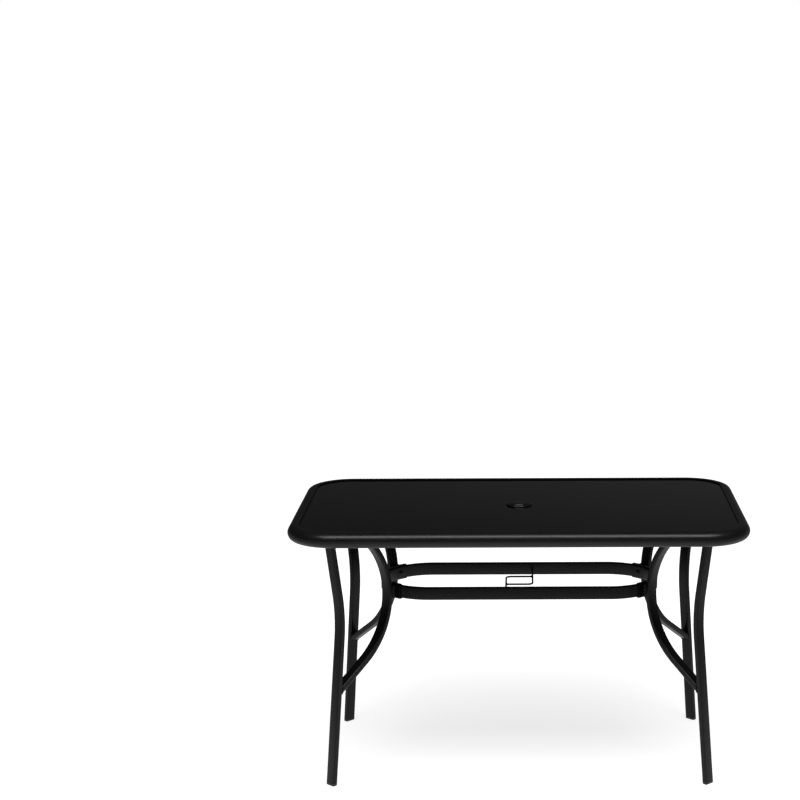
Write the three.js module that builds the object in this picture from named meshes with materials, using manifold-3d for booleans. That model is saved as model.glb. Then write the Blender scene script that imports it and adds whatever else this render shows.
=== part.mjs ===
// Garden table with a tempered glass top, made for a parasol.
// A roll-formed steel rim carries the glass in a rubber seal. Four welded corner
// frames, each a bent leg, a C-shaped brace and a short head bar, are bolted to
// the rim through curved gussets. A flat tube hoop ties the four braces together,
// and two bent wires across it steady the parasol pole. A plastic ring lines the
// hole in the glass, with a lift-out cap.
// Millimetres, +Z up, X along the table, origin on the ground under the centre.
import * as THREE from "three";
import { mergeVertices } from "three/addons/utils/BufferGeometryUtils.js";
import Module from "manifold-3d";

const wasm = await Module();
wasm.setup();

// Whole table
const tableLength = 1200;
const tableWidth = 700;
const tableHeight = 700;
const cornerRadius = 125;
const seatGap = 0.3; // left between pieces that touch
const boreGap = 0.35; // round a bolt in its hole
const cutOverrun = 6; // how far a cutter runs past what it cuts
const weldDistance = 0.001; // vertices closer than this are one

// Roll-formed rim, one strip of sheet bent to a bull nose with a glass shelf
const rimHeight = 40;
const rimWidth = 30;
const rimSheet = 1.5;
const rimUnderFlat = 2.25; // level stretch under the nose, in to the inner wall
const rimShelfReach = 6; // how far the shelf runs in past the visible edge

// Glass and its seal
const glassThickness = 5;
const glassTuck = 8.5; // glass edge hidden under the rim's flange
const sealLip = 1.2;
const sealLap = 6.5; // how far the seal's lips lap over the glass

// Ring in the hole, with its snap legs, and the cap
const ringBore = 50;
const ringSkirtWall = 3.7;
const ringFlangeWidth = 8.4; // from the cap's seat to the ring's outer edge
const ringHeight = 4.8; // flange above the glass
const ringFlangeEdge = 2.1; // straight part of the flange's outer edge
const ringRound = 2.7; // where the flange's top runs down to that edge
const ringLipRound = 1.1; // where it runs down to the cap's seat
const ringSkirtDepth = 13; // below the top of the glass
const capSeatDepth = 4.3; // from the flange's top down to the cap's ledge
const snapLegs = 4;
const snapLegWidth = 11;
const snapSlot = 2.2;
const snapReach = 1.9; // barb beyond the skirt
const snapLength = 4.2;
const snapEdge = 1.4; // upright part of the barb's edge
const capLap = 1; // cap's edge beyond the bore
const capThickness = 5.5;
const capRimRadius = 1.6;
const capEdgeBreak = 0.5;
const capCrown = 0.4; // rise of the cap's middle
const capSpigotDepth = 6.5;
const capSpigotWall = 1.8;
const capSpigotGap = 0.5;

// Corner frame, drawn in its own upright plane: reach is measured outwards along
// the diagonal from the centre of the hoop's round end, height from the ground
const frameInset = 10; // that centre, in from where the corners' diagonals meet
const tubeWidth = 30;
const tubeDepth = 15;
const tubeCorner = 4;
const tubeWall = 1.2;
const footOut = 37.2; // reach of the foot beyond the middle of the rim's corner
const kneeIn = 4.9; // reach of the knee short of it
const kneeDrop = 221.1; // from the top of the leg down to the knee
const kneeRadius = 480;
const legLeanShare = 0.16; // reach gained per height above the knee
const braceInnerShare = 0.473; // reach of the brace's inner face, of the knee's
const braceRadius = 207.4;
const braceTopAngle = THREE.MathUtils.degToRad(23.8); // slope where it meets the head bar
const braceTailShare = 0.7; // height lost per reach along the straight lower end
const headBarHeight = 15;
const headBarLap = 10; // head bar beyond the brace's inner edge

// Foot caps
const footHeight = 7;
const footSpigot = 18;
const footSpigotGap = 0.4;
const footChamfer = 1.5;

// Glass pads on the head bars
const padLength = 30;
const padWidth = 22;
const padHeight = 3;
const padCorner = 3;
const padOut = 55; // reach beyond the middle of the rim's corner

// Gussets between head bars and rim, and the bolts
const gussetSheet = 3;
const gussetHalfAngle = THREE.MathUtils.degToRad(27);
const gussetBoltAngle = THREE.MathUtils.degToRad(20);
const gussetWidth = 34;
const gussetRise = 14; // upright leg above the flat one
const boltDiameter = 6;
const boltHeadDiameter = 11;
const boltHeadHeight = 3.6;
const boltDomeShares = [
  [1, 0],
  [1, 0.35],
  [0.6, 1],
]; // the head's profile, of its radius and height
const rimBoltGrip = 14;
const frameBoltGrip = 15;
const frameBoltInset = 15; // from the head bar's outer end

// Hoop, its saddles and bolts
const hoopTubeHeight = 34;
const hoopTubeDepth = 13;
const hoopCorner = 3;
const hoopRise = 2; // hoop's middle above the centre of the braces
const saddleDepth = 15.1; // between hoop and brace
const saddleWidth = 48;
const saddleBoxWidth = 26;
const saddleSheet = 3;
const saddleLap = 8; // lips over and under the hoop
const hoopBoltTail = 2; // bolt beyond its nut
const nutWidth = 10;
const nutHeight = 5;

// Pole guide wires
const wireDiameter = 5;
const guideHalfLength = 36; // along X, to the wires' middles
const guideWidthShare = 0.325; // the same along Y, of the space inside the hoop
const wireBend = 14;

// Steps of the round stretches
const trackSteps = 8;
const noseSteps = 8;
const cornerSteps = 2;
const insideCornerSteps = 1;
const kneeSteps = 5;
const braceSteps = 12;
const hoopEndSteps = 8;
const gussetSteps = 6;
const wireSteps = 5;
const wireSides = 8;
const ringSegments = 32;
const ringRoundSteps = 3;
const snapSteps = 3;
const boltSegments = 10;
const nutSides = 6;

// Heights that follow from the sizes above
const flangeUnderside = tableHeight - rimSheet;
const glassTop = flangeUnderside - seatGap - sealLip - seatGap;
const glassBottom = glassTop - glassThickness;
const shelfTop = glassBottom - seatGap - sealLip - seatGap;
const headBarTop = Math.min(glassBottom - seatGap - padHeight, shelfTop - rimSheet) - seatGap;
const headBarBottom = headBarTop - headBarHeight;
const padTop = glassBottom - seatGap;
const padBottom = headBarTop + seatGap;
const frameTop = headBarBottom - seatGap;
const gussetTop = headBarBottom - seatGap;
const rimBoltHeight = gussetTop + gussetRise / 2;
const rimBottom = tableHeight - rimHeight;
const kneeHeight = frameTop - kneeDrop;
const braceCentreHeight = frameTop - braceRadius * Math.cos(braceTopAngle);
const hoopMiddle = braceCentreHeight + hoopRise;

// Places and reaches that follow from them
const noseCentre = rimWidth - rimHeight / 2;
const rimWallInset = noseCentre - rimUnderFlat;
const cornerCentreX = tableLength / 2 - cornerRadius;
const cornerCentreY = tableWidth / 2 - cornerRadius;
const rimWallRadius = cornerRadius - rimWidth + rimWallInset - rimSheet / 2;
const cornerFacetShare = Math.cos(Math.PI / 4 / trackSteps); // a facet's middle, of its ends' radius
const gussetOuterRadius = rimWallRadius * cornerFacetShare - seatGap;
const frameCentre = cornerCentreX - cornerCentreY - frameInset;
const cornerReach = (cornerCentreX - frameCentre + cornerCentreY) * Math.SQRT1_2;
const cornerAside = (cornerCentreX - frameCentre - cornerCentreY) * Math.SQRT1_2;
const footReach = cornerReach + footOut;
const kneeReach = cornerReach - kneeIn;
const legFace = tubeDepth / 2 + seatGap; // from the leg's middle line to what meets it
const braceTailAngle = Math.PI - Math.atan(braceTailShare);
const braceInnerReach = kneeReach * braceInnerShare;
const braceCentreReach = braceInnerReach + tubeDepth / 2 + braceRadius;
const braceTopReach = braceCentreReach - braceRadius * Math.sin(braceTopAngle);
const headBarStart = braceTopReach - tubeDepth / 2 / Math.sin(braceTopAngle) - headBarLap;
const hoopHalfWidth = braceInnerReach - saddleDepth;
const hoopInnerReach = hoopHalfWidth - hoopTubeDepth;
const hoopStep = Math.PI / 2 / hoopEndSteps; // turn of one facet round the hoop's end
const hoopBoltFall = (boltHeadDiameter / 2) * Math.tan(hoopStep / 2); // its face, at the head's edge
const hoopBoltSeat = hoopInnerReach - hoopBoltFall - seatGap;
const saddleFront = hoopHalfWidth + seatGap;
const hoopNutSeat = saddleFront + saddleSheet + seatGap;
const hoopBoltGrip = hoopNutSeat + nutHeight + hoopBoltTail - hoopBoltSeat;
const guideHalfWidth = hoopInnerReach * guideWidthShare;
const ringSkirt = ringBore / 2 + ringSkirtWall;
const glassHole = ringSkirt + seatGap;
const capEdge = ringBore / 2 + capLap;
const capSeat = capEdge + 2 * seatGap;
const ringEdge = capSeat + ringFlangeWidth;

const X = new THREE.Vector3(1, 0, 0);
const Y = new THREE.Vector3(0, 1, 0);
const Z = new THREE.Vector3(0, 0, 1);

// The colours and finishes of the pieces
const finishes = {
  powderCoat: new THREE.MeshStandardMaterial({ color: "#161616", roughness: 0.42, metalness: 0.0 }),
  rimCoat: new THREE.MeshStandardMaterial({ color: "#131313", roughness: 0.34, metalness: 0.0 }),
  glass: new THREE.MeshStandardMaterial({ color: "#050506", roughness: 0.05, metalness: 0.0 }),
  plastic: new THREE.MeshStandardMaterial({ color: "#101010", roughness: 0.3, metalness: 0.0 }),
  rubber: new THREE.MeshStandardMaterial({ color: "#0d0d0d", roughness: 0.8, metalness: 0.0 }),
  zinc: new THREE.MeshStandardMaterial({ color: "#202123", roughness: 0.38, metalness: 0.9 }),
};

// Points along part of an ellipse, from one angle to another
function arc(x, y, across, up, from, to, steps) {
  return Array.from({ length: steps + 1 }, (_, i) => {
    const angle = from + ((to - from) * i) / steps;
    return [x + across * Math.cos(angle), y + up * Math.sin(angle)];
  });
}

// Pairs of places as the points of an outline
function outlineOf(pairs) {
  return pairs.map(([x, y]) => new THREE.Vector2(x, y));
}

// A closed geometry as a solid that can be joined and cut
function solid(geometry) {
  const bare = geometry.index ? geometry.toNonIndexed() : geometry.clone();
  bare.deleteAttribute("normal");
  bare.deleteAttribute("uv");
  const merged = mergeVertices(bare, weldDistance);
  return new wasm.Manifold(
    new wasm.Mesh({
      numProp: 3,
      vertProperties: merged.getAttribute("position").array,
      triVerts: new Uint32Array(merged.index.array),
    }),
  );
}

// A solid back as a geometry
function geometryOf(made) {
  const mesh = made.getMesh();
  const geometry = new THREE.BufferGeometry();
  geometry.setAttribute("position", new THREE.BufferAttribute(mesh.vertProperties, 3));
  geometry.setIndex(new THREE.BufferAttribute(mesh.triVerts, 1));
  geometry.computeVertexNormals();
  return geometry;
}

// One geometry with others cut away
function cut(geometry, ...cutters) {
  const left = cutters.reduce((body, cutter) => body.subtract(solid(cutter)), solid(geometry));
  return geometryOf(left);
}

// Geometries joined to one body
function join(geometry, ...others) {
  const whole = others.reduce((body, other) => body.add(solid(other)), solid(geometry));
  return geometryOf(whole);
}

// Outline of a rectangle with round corners, anticlockwise
function roundedRectangle(width, height, radius, steps = cornerSteps) {
  const points = [];
  const centres = [
    [width / 2 - radius, height / 2 - radius],
    [radius - width / 2, height / 2 - radius],
    [radius - width / 2, radius - height / 2],
    [width / 2 - radius, radius - height / 2],
  ];
  centres.forEach(([x, y], quarter) => {
    for (let i = 0; i <= steps; i += 1) {
      const angle = ((quarter + i / steps) * Math.PI) / 2;
      points.push(new THREE.Vector2(x + radius * Math.cos(angle), y + radius * Math.sin(angle)));
    }
  });
  return points;
}

// Outline of a circle, anticlockwise
function circle(radius, sides) {
  return Array.from({ length: sides }, (_, i) => {
    const angle = (2 * Math.PI * (i + 1 / 2)) / sides;
    return new THREE.Vector2(radius * Math.cos(angle), radius * Math.sin(angle));
  });
}

// Outline of a strip of sheet bent along a middle line, with mitred bends
function bentStrip(middle, sheet) {
  const offset = (point, i, side) => {
    const before = middle[Math.max(i - 1, 0)];
    const after = middle[Math.min(i + 1, middle.length - 1)];
    const into = (i > 0 ? point.clone().sub(before) : after.clone().sub(point)).normalize();
    const out = (i < middle.length - 1 ? after.clone().sub(point) : into.clone()).normalize();
    const normal = new THREE.Vector2(-into.y - out.y, into.x + out.x).normalize();
    const reach = (side * sheet) / 2 / normal.dot(new THREE.Vector2(-into.y, into.x));
    return point.clone().addScaledVector(normal, reach);
  };
  const left = middle.map((point, i) => offset(point, i, 1));
  const right = middle.map((point, i) => offset(point, i, -1));
  return [...right, ...left.reverse()];
}

// A skin over an outline carried through stations. Each station has its place and
// two axes, side and up, with side x up along the way; a plane at either end
// mitres the outline by sliding its points along the way
function sweep(stations, outline, { closed = false, startPlane = null, endPlane = null } = {}) {
  const last = stations.length - 1;
  const sections = stations.map(({ at, side, up }, i) => {
    const along = new THREE.Vector3().crossVectors(side, up);
    const plane = i === 0 ? startPlane : i === last ? endPlane : null;
    return outline.map((point) => {
      const place = at.clone().addScaledVector(side, point.x).addScaledVector(up, point.y);
      if (!plane) return place;
      return place.addScaledVector(along, -plane.distanceToPoint(place) / plane.normal.dot(along));
    });
  });
  const count = outline.length;
  const faces = [];
  const spans = closed ? sections.length : last;
  for (let i = 0; i < spans; i += 1) {
    const here = i * count;
    const next = ((i + 1) % sections.length) * count;
    for (let j = 0; j < count; j += 1) {
      const k = (j + 1) % count;
      faces.push(here + j, here + k, next + k);
      faces.push(here + j, next + k, next + j);
    }
  }
  if (!closed) {
    for (const [a, b, c] of THREE.ShapeUtils.triangulateShape(outline, [])) {
      faces.push(a, c, b);
      faces.push(last * count + a, last * count + b, last * count + c);
    }
  }
  const geometry = new THREE.BufferGeometry().setFromPoints(sections.flat());
  geometry.setIndex(faces);
  geometry.computeVertexNormals();
  return geometry;
}

// Stations round a rectangle with round corners, clockwise from above, so that
// side points outwards and up stays up
function track(length, width, radius, steps = trackSteps) {
  const stations = [];
  for (let quarter = 3; quarter >= 0; quarter -= 1) {
    const sideX = quarter === 0 || quarter === 3 ? 1 : -1;
    const sideY = quarter < 2 ? 1 : -1;
    for (let i = steps; i >= 0; i -= 1) {
      const angle = ((quarter + i / steps) * Math.PI) / 2;
      const side = new THREE.Vector3(Math.cos(angle), Math.sin(angle), 0);
      const centre = new THREE.Vector3(
        sideX * (length / 2 - radius),
        sideY * (width / 2 - radius),
        0,
      );
      stations.push({ at: centre.addScaledVector(side, radius), side, up: Z });
    }
  }
  return stations;
}

// Stations along part of a circle about the Z axis, clockwise from above
function arcTrack(fromAngle, toAngle, steps) {
  return Array.from({ length: steps + 1 }, (_, i) => {
    const angle = toAngle + ((fromAngle - toAngle) * i) / steps;
    const side = new THREE.Vector3(Math.cos(angle), Math.sin(angle), 0);
    return { at: new THREE.Vector3(), side, up: Z };
  });
}

// A station of a tube in the frame's plane, at a reach and height, with its slope
function frameStation(reach, height, angle) {
  const along = new THREE.Vector3(Math.cos(angle), 0, Math.sin(angle));
  return {
    at: new THREE.Vector3(reach, 0, height),
    side: Y,
    up: new THREE.Vector3().crossVectors(along, Y),
  };
}

// A hollow tube through stations, open at both ends
function hollowTube(stations, width, depth, corner, wall, startPlane, endPlane) {
  const outer = sweep(stations, roundedRectangle(width, depth, corner), { startPlane, endPlane });
  const inside = roundedRectangle(
    width - 2 * wall,
    depth - 2 * wall,
    corner - wall,
    insideCornerSteps,
  );
  const further = (plane) => {
    const shift = plane.normal.clone().multiplyScalar(cutOverrun);
    return plane.clone().translate(shift);
  };
  const core = sweep(stations, inside, {
    startPlane: further(startPlane),
    endPlane: further(endPlane),
  });
  return cut(outer, core);
}

// A body of revolution about Z from its profile of radius and height
function turned(profile, segments = ringSegments) {
  const points = profile.map(([radius, height]) => new THREE.Vector2(radius, height));
  return new THREE.LatheGeometry(points, segments).rotateX(Math.PI / 2);
}

// A round cutter along +X from the origin's plane
function drill(diameter, from, to) {
  return new THREE.CylinderGeometry(diameter / 2, diameter / 2, to - from, boltSegments)
    .rotateZ(Math.PI / 2)
    .translate((from + to) / 2, 0, 0);
}

// A bolt with a domed head above its shank, head seat at zero, shank down
function bolt(grip) {
  const shank = boltDiameter / 2;
  const head = boltHeadDiameter / 2;
  return turned(
    [
      [0, -grip],
      [shank, -grip],
      [shank, 0],
      ...boltDomeShares.map(([across, up]) => [head * across, boltHeadHeight * up]),
      [0, boltHeadHeight],
    ],
    boltSegments,
  );
}

// A hexagon nut with its hole, its lower face at zero
function nut() {
  const corner = nutWidth / Math.sqrt(3);
  const shape = new THREE.Shape(circle(corner, nutSides));
  shape.holes.push(new THREE.Path(circle(boltDiameter / 2 + boreGap, boltSegments)));
  return new THREE.ExtrudeGeometry(shape, { depth: nutHeight, bevelEnabled: false });
}

// Rim: the visible flange, the bull nose, the underside, the inner wall and the
// shelf under the glass, all one strip carried round the table
function rimGeometry() {
  const noseRadius = (rimHeight - rimSheet) / 2;
  const middleHeight = tableHeight - rimHeight / 2;
  const top = Math.PI / 2;
  const middle = outlineOf([
    [0, tableHeight - rimSheet / 2],
    ...arc(noseCentre, middleHeight, noseRadius, noseRadius, top, -top, noseSteps),
    [rimWallInset, rimBottom + rimSheet / 2],
    [rimWallInset, shelfTop - rimSheet / 2],
    [-rimShelfReach, shelfTop - rimSheet / 2],
  ]);
  const inner = track(
    tableLength - 2 * rimWidth,
    tableWidth - 2 * rimWidth,
    cornerRadius - rimWidth,
  );
  const ring = sweep(inner, bentStrip(middle, rimSheet), { closed: true });
  const holes = corners.flatMap((corner) =>
    [-1, 1].map((side) => placeAtCorner(rimBoltDrill(), corner, side * gussetBoltAngle)),
  );
  return cut(ring, ...holes);
}

// The hole that a rim bolt passes, from the gusset through the rim's inner wall
function rimBoltDrill() {
  const from = gussetOuterRadius - gussetSheet - cutOverrun;
  const to = rimWallRadius + rimSheet + cutOverrun;
  return drill(boltDiameter + 2 * boreGap, from, to).translate(0, 0, rimBoltHeight);
}

// Glass: one sheet with round corners and the hole for the ring
function glassGeometry() {
  const length = tableLength - 2 * (rimWidth - glassTuck);
  const width = tableWidth - 2 * (rimWidth - glassTuck);
  const radius = cornerRadius - rimWidth + glassTuck;
  const shape = new THREE.Shape(roundedRectangle(length, width, radius, trackSteps));
  shape.holes.push(new THREE.Path(circle(glassHole, ringSegments)));
  const sheet = new THREE.ExtrudeGeometry(shape, { depth: glassThickness, bevelEnabled: false });
  return sheet.translate(0, 0, glassBottom);
}

// Seal: a rubber channel round the glass edge
function sealGeometry() {
  const inset = rimWidth - glassTuck;
  const edge = track(tableLength - 2 * inset, tableWidth - 2 * inset, cornerRadius - inset);
  const out = seatGap + sealLip;
  const low = glassBottom - seatGap;
  const high = glassTop + seatGap;
  const outline = outlineOf([
    [-sealLap, low - sealLip],
    [out, low - sealLip],
    [out, high + sealLip],
    [-sealLap, high + sealLip],
    [-sealLap, high],
    [seatGap, high],
    [seatGap, low],
    [-sealLap, low],
  ]);
  return sweep(edge, outline, { closed: true });
}

// Ring in the glass: rounded flange, ledge for the cap, and a skirt with snap legs
function ringGeometry() {
  const bore = ringBore / 2;
  const ledge = ringHeight - capSeatDepth;
  const edgeRise = ringHeight - ringFlangeEdge;
  const top = Math.PI / 2;
  const body = turned([
    [bore, -ringSkirtDepth],
    [ringSkirt, -ringSkirtDepth],
    [ringSkirt, seatGap],
    [ringEdge, seatGap],
    ...arc(ringEdge - ringRound, ringFlangeEdge, ringRound, edgeRise, 0, top, ringRoundSteps),
    [capSeat + ringLipRound, ringHeight],
    [capSeat, ringHeight - ringLipRound],
    [capSeat, ledge],
    [bore, ledge],
    [bore, -ringSkirtDepth],
  ]);
  const under = -glassThickness - seatGap;
  const halfAngle = snapLegWidth / 2 / ringSkirt;
  const barbOutline = outlineOf([
    [bore + seatGap, under - snapLength],
    [ringSkirt, under - snapLength],
    [ringSkirt + snapReach, under - snapEdge],
    [ringSkirt + snapReach, under],
    [bore + seatGap, under],
  ]);
  const slotLength = ringSkirt + snapReach - bore + 2 * cutOverrun;
  const slotHeight = ringSkirtDepth - glassThickness;
  const slots = [];
  const barbs = [];
  for (let leg = 0; leg < snapLegs; leg += 1) {
    const turn = ((leg + 1 / 2) * 2 * Math.PI) / snapLegs;
    barbs.push(sweep(arcTrack(-halfAngle, halfAngle, snapSteps), barbOutline).rotateZ(turn));
    for (const side of [-1, 1]) {
      const slot = new THREE.BoxGeometry(slotLength, snapSlot, slotHeight);
      slot.translate(bore + slotLength / 2 - cutOverrun, 0, -ringSkirtDepth);
      slots.push(slot.rotateZ(turn + side * (halfAngle + snapSlot / 2 / ringSkirt)));
    }
  }
  return cut(join(body, ...barbs), ...slots).translate(0, 0, glassTop);
}

// Cap: a shallow disc with a rounded rim and a hollow spigot below
function capGeometry() {
  const spigot = ringBore / 2 - capSpigotGap;
  const rimCentre = capThickness - capRimRadius;
  const top = Math.PI / 2;
  const disc = turned([
    [0, 0],
    [spigot - capSpigotWall, 0],
    [spigot - capSpigotWall, -capSpigotDepth],
    [spigot, -capSpigotDepth],
    [spigot, 0],
    [capEdge - capEdgeBreak, 0],
    [capEdge, capEdgeBreak],
    ...arc(capEdge - capRimRadius, rimCentre, capRimRadius, capRimRadius, 0, top, ringRoundSteps),
    [capEdge / 2, capThickness + capCrown],
    [0, capThickness + capCrown],
  ]);
  return disc.translate(0, 0, glassTop + ringHeight - capSeatDepth + seatGap);
}

// The leg's middle line: straight and leaning in, a soft knee, then leaning out
function legStations() {
  const foot = new THREE.Vector2(footReach, 0);
  const knee = new THREE.Vector2(kneeReach, kneeHeight);
  const lower = Math.atan2(knee.y - foot.y, knee.x - foot.x);
  const upper = Math.PI / 2 - Math.atan(legLeanShare);
  const tangent = kneeRadius * Math.tan((lower - upper) / 2);
  const bendStart = knee.clone().sub(foot).normalize().multiplyScalar(-tangent).add(knee);
  const stations = [frameStation(foot.x, foot.y, lower)];
  for (let i = 0; i <= kneeSteps; i += 1) {
    const angle = lower + ((upper - lower) * i) / kneeSteps;
    const reach = bendStart.x + kneeRadius * (Math.sin(lower) - Math.sin(angle));
    const height = bendStart.y + kneeRadius * (Math.cos(angle) - Math.cos(lower));
    stations.push(frameStation(reach, height, angle));
  }
  stations.push(frameStation(kneeReach + legLeanShare * kneeDrop, frameTop, upper));
  return stations;
}

// The brace's middle line, from the leg up round to the head bar
function braceStations() {
  const onArc = (angle) => [
    braceCentreReach - braceRadius * Math.sin(angle),
    braceCentreHeight + braceRadius * Math.cos(angle),
  ];
  const [tailReach, tailHeight] = onArc(braceTailAngle);
  const run = legReachAt(tailHeight) - legFace - tailReach;
  const tailEnd = tailHeight - run * braceTailShare;
  const stations = [frameStation(tailReach + run, tailEnd, braceTailAngle)];
  for (let i = 0; i <= braceSteps; i += 1) {
    const angle = braceTailAngle + ((braceTopAngle - braceTailAngle) * i) / braceSteps;
    stations.push(frameStation(...onArc(angle), angle));
  }
  return stations;
}

// The reach of the leg's straight lower part at a height
function legReachAt(height) {
  return footReach + ((kneeReach - footReach) * height) / kneeHeight;
}

// A level plane at a height, facing up or down
function levelPlane(height, facing) {
  return new THREE.Plane().setFromNormalAndCoplanarPoint(
    new THREE.Vector3(0, 0, facing),
    new THREE.Vector3(0, 0, height),
  );
}

// Leg tube, cut level at both ends
function legGeometry() {
  return hollowTube(
    legStations(),
    tubeWidth,
    tubeDepth,
    tubeCorner,
    tubeWall,
    levelPlane(footHeight + seatGap, -1),
    levelPlane(frameTop, 1),
  );
}

// Brace tube, mitred to the leg's inner face and to the head bar
function braceGeometry() {
  const lean = new THREE.Vector2(kneeReach - footReach, kneeHeight).normalize();
  const mitre = new THREE.Plane().setFromNormalAndCoplanarPoint(
    new THREE.Vector3(lean.y, 0, -lean.x),
    new THREE.Vector3(footReach - legFace / lean.y, 0, 0),
  );
  return hollowTube(
    braceStations(),
    tubeWidth,
    tubeDepth,
    tubeCorner,
    tubeWall,
    mitre,
    levelPlane(frameTop, 1),
  );
}

// Where the head bar's outer end stops, clear of the gusset's upright leg
function headBarEnd() {
  const clear = gussetOuterRadius - gussetSheet - seatGap;
  const aside = Math.abs(cornerAside) + tubeWidth / 2;
  return cornerReach + Math.sqrt(clear ** 2 - aside ** 2);
}

// Head bar: a short level tube over the leg and brace, with the frame bolt's hole
function headBarGeometry() {
  const middle = (headBarTop + headBarBottom) / 2;
  const stations = [headBarStart, headBarEnd()].map((reach) => frameStation(reach, middle, 0));
  const upright = (reach, out) => new THREE.Plane().setFromNormalAndCoplanarPoint(
    new THREE.Vector3(out, 0, 0),
    new THREE.Vector3(reach, 0, 0),
  );
  const tube = hollowTube(
    stations,
    tubeWidth,
    headBarHeight,
    tubeCorner,
    tubeWall,
    upright(headBarStart, -1),
    upright(headBarEnd(), 1),
  );
  const hole = drill(boltDiameter + 2 * boreGap, -cutOverrun, headBarHeight / 2);
  hole.rotateY(-Math.PI / 2).translate(headBarEnd() - frameBoltInset, 0, headBarBottom);
  return cut(tube, hole);
}

// Foot cap: a level sole as wide as the tube and a plug up inside it
function footGeometry() {
  const lean = (kneeReach - footReach) / kneeHeight;
  const station = (height) => ({
    at: new THREE.Vector3(footReach + lean * height, 0, height),
    side: X,
    up: Y,
  });
  const sole = (shrink, steps) =>
    roundedRectangle(tubeDepth - 2 * shrink, tubeWidth - 2 * shrink, tubeCorner - shrink, steps);
  const plug = sole(tubeWall + footSpigotGap, insideCornerSteps);
  const chamfered = [0, footChamfer].map((height, i) => ({
    at: station(height).at,
    outline: sole(footChamfer * (1 - i)),
  }));
  return join(
    taper(chamfered),
    sweep([station(footChamfer), station(footHeight)], sole(0)),
    sweep([station(footHeight - footChamfer), station(footHeight + footSpigot)], plug),
  );
}

// A short body between two level outlines of equally many points
function taper([low, high]) {
  const count = low.outline.length;
  const points = [low, high].flatMap(({ at, outline }) =>
    outline.map((point) => new THREE.Vector3(at.x + point.x, at.y + point.y, at.z)),
  );
  const faces = [];
  for (let j = 0; j < count; j += 1) {
    const k = (j + 1) % count;
    faces.push(j, k, count + k, j, count + k, count + j);
  }
  for (const [a, b, c] of THREE.ShapeUtils.triangulateShape(low.outline, [])) {
    faces.push(a, c, b, count + a, count + b, count + c);
  }
  const geometry = new THREE.BufferGeometry().setFromPoints(points);
  geometry.setIndex(faces);
  return geometry;
}

// Rubber pad between head bar and glass
function padGeometry() {
  const shape = new THREE.Shape(roundedRectangle(padLength, padWidth, padCorner));
  const pad = new THREE.ExtrudeGeometry(shape, { depth: padTop - padBottom, bevelEnabled: false });
  return pad.translate(cornerReach + padOut, 0, padBottom);
}

// Gusset: an L of sheet rolled to the corner, its upright leg on the rim's wall
function gussetGeometry() {
  const outer = gussetOuterRadius;
  const low = gussetTop - gussetSheet;
  const outline = outlineOf([
    [outer - gussetWidth, low],
    [outer, low],
    [outer, gussetTop + gussetRise],
    [outer - gussetSheet, gussetTop + gussetRise],
    [outer - gussetSheet, gussetTop],
    [outer - gussetWidth, gussetTop],
  ]);
  return sweep(arcTrack(-gussetHalfAngle, gussetHalfAngle, gussetSteps), outline);
}

// Hoop: a flat tube bent to a long loop with round ends, drilled for its bolts
function hoopGeometry() {
  const line = hoopHalfWidth - hoopTubeDepth / 2;
  const loop = track(2 * (frameCentre + line), 2 * line, line, hoopEndSteps);
  const section = roundedRectangle(hoopTubeDepth, hoopTubeHeight, hoopCorner);
  const outer = sweep(loop, section, { closed: true });
  const inside = roundedRectangle(
    hoopTubeDepth - 2 * tubeWall,
    hoopTubeHeight - 2 * tubeWall,
    hoopCorner - tubeWall,
    insideCornerSteps,
  );
  const core = sweep(loop, inside, { closed: true });
  const from = hoopInnerReach - cutOverrun;
  const hole = drill(boltDiameter + 2 * boreGap, from, hoopHalfWidth + cutOverrun);
  const holes = corners.map((corner) => placeInFrame(hole, corner));
  return cut(outer, core, ...holes).translate(0, 0, hoopMiddle);
}

// Saddle: a channel that follows the hoop's end, with lips over and under it, and
// a box of sheet behind it that reaches the brace and holds the nut
function saddleGeometry() {
  const web = saddleFront + saddleSheet;
  const lip = hoopHalfWidth - saddleLap;
  const inside = hoopTubeHeight / 2 + seatGap;
  const outside = inside + saddleSheet;
  const channel = outlineOf([
    [lip, -outside],
    [web, -outside],
    [web, outside],
    [lip, outside],
    [lip, inside],
    [saddleFront, inside],
    [saddleFront, -inside],
    [lip, -inside],
  ]);
  const back = braceInnerReach - seatGap;
  const half = saddleBoxWidth / 2;
  const root = Math.sqrt((saddleFront + saddleSheet / 2) ** 2 - half ** 2);
  const walls = outlineOf([
    [root, -half],
    [back, -half],
    [back, half],
    [root, half],
    [root, half - saddleSheet],
    [back - saddleSheet, half - saddleSheet],
    [back - saddleSheet, saddleSheet - half],
    [root, saddleSheet - half],
  ]);
  const box = new THREE.ExtrudeGeometry(new THREE.Shape(walls), {
    depth: hoopTubeHeight,
    bevelEnabled: false,
  });
  box.translate(0, 0, -hoopTubeHeight / 2);
  const turns = Math.ceil(Math.asin(saddleWidth / 2 / lip) / hoopStep);
  const bend = arcTrack(-turns * hoopStep, turns * hoopStep, 2 * turns);
  const ends = [-1, 1].map((side) =>
    new THREE.BoxGeometry(2 * back, saddleWidth, 3 * outside).translate(0, side * saddleWidth, 0),
  );
  const hole = drill(boltDiameter + 2 * boreGap, lip, hoopNutSeat + nutHeight);
  return cut(join(sweep(bend, channel), box), hole, ...ends).translate(0, 0, hoopMiddle);
}

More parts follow.
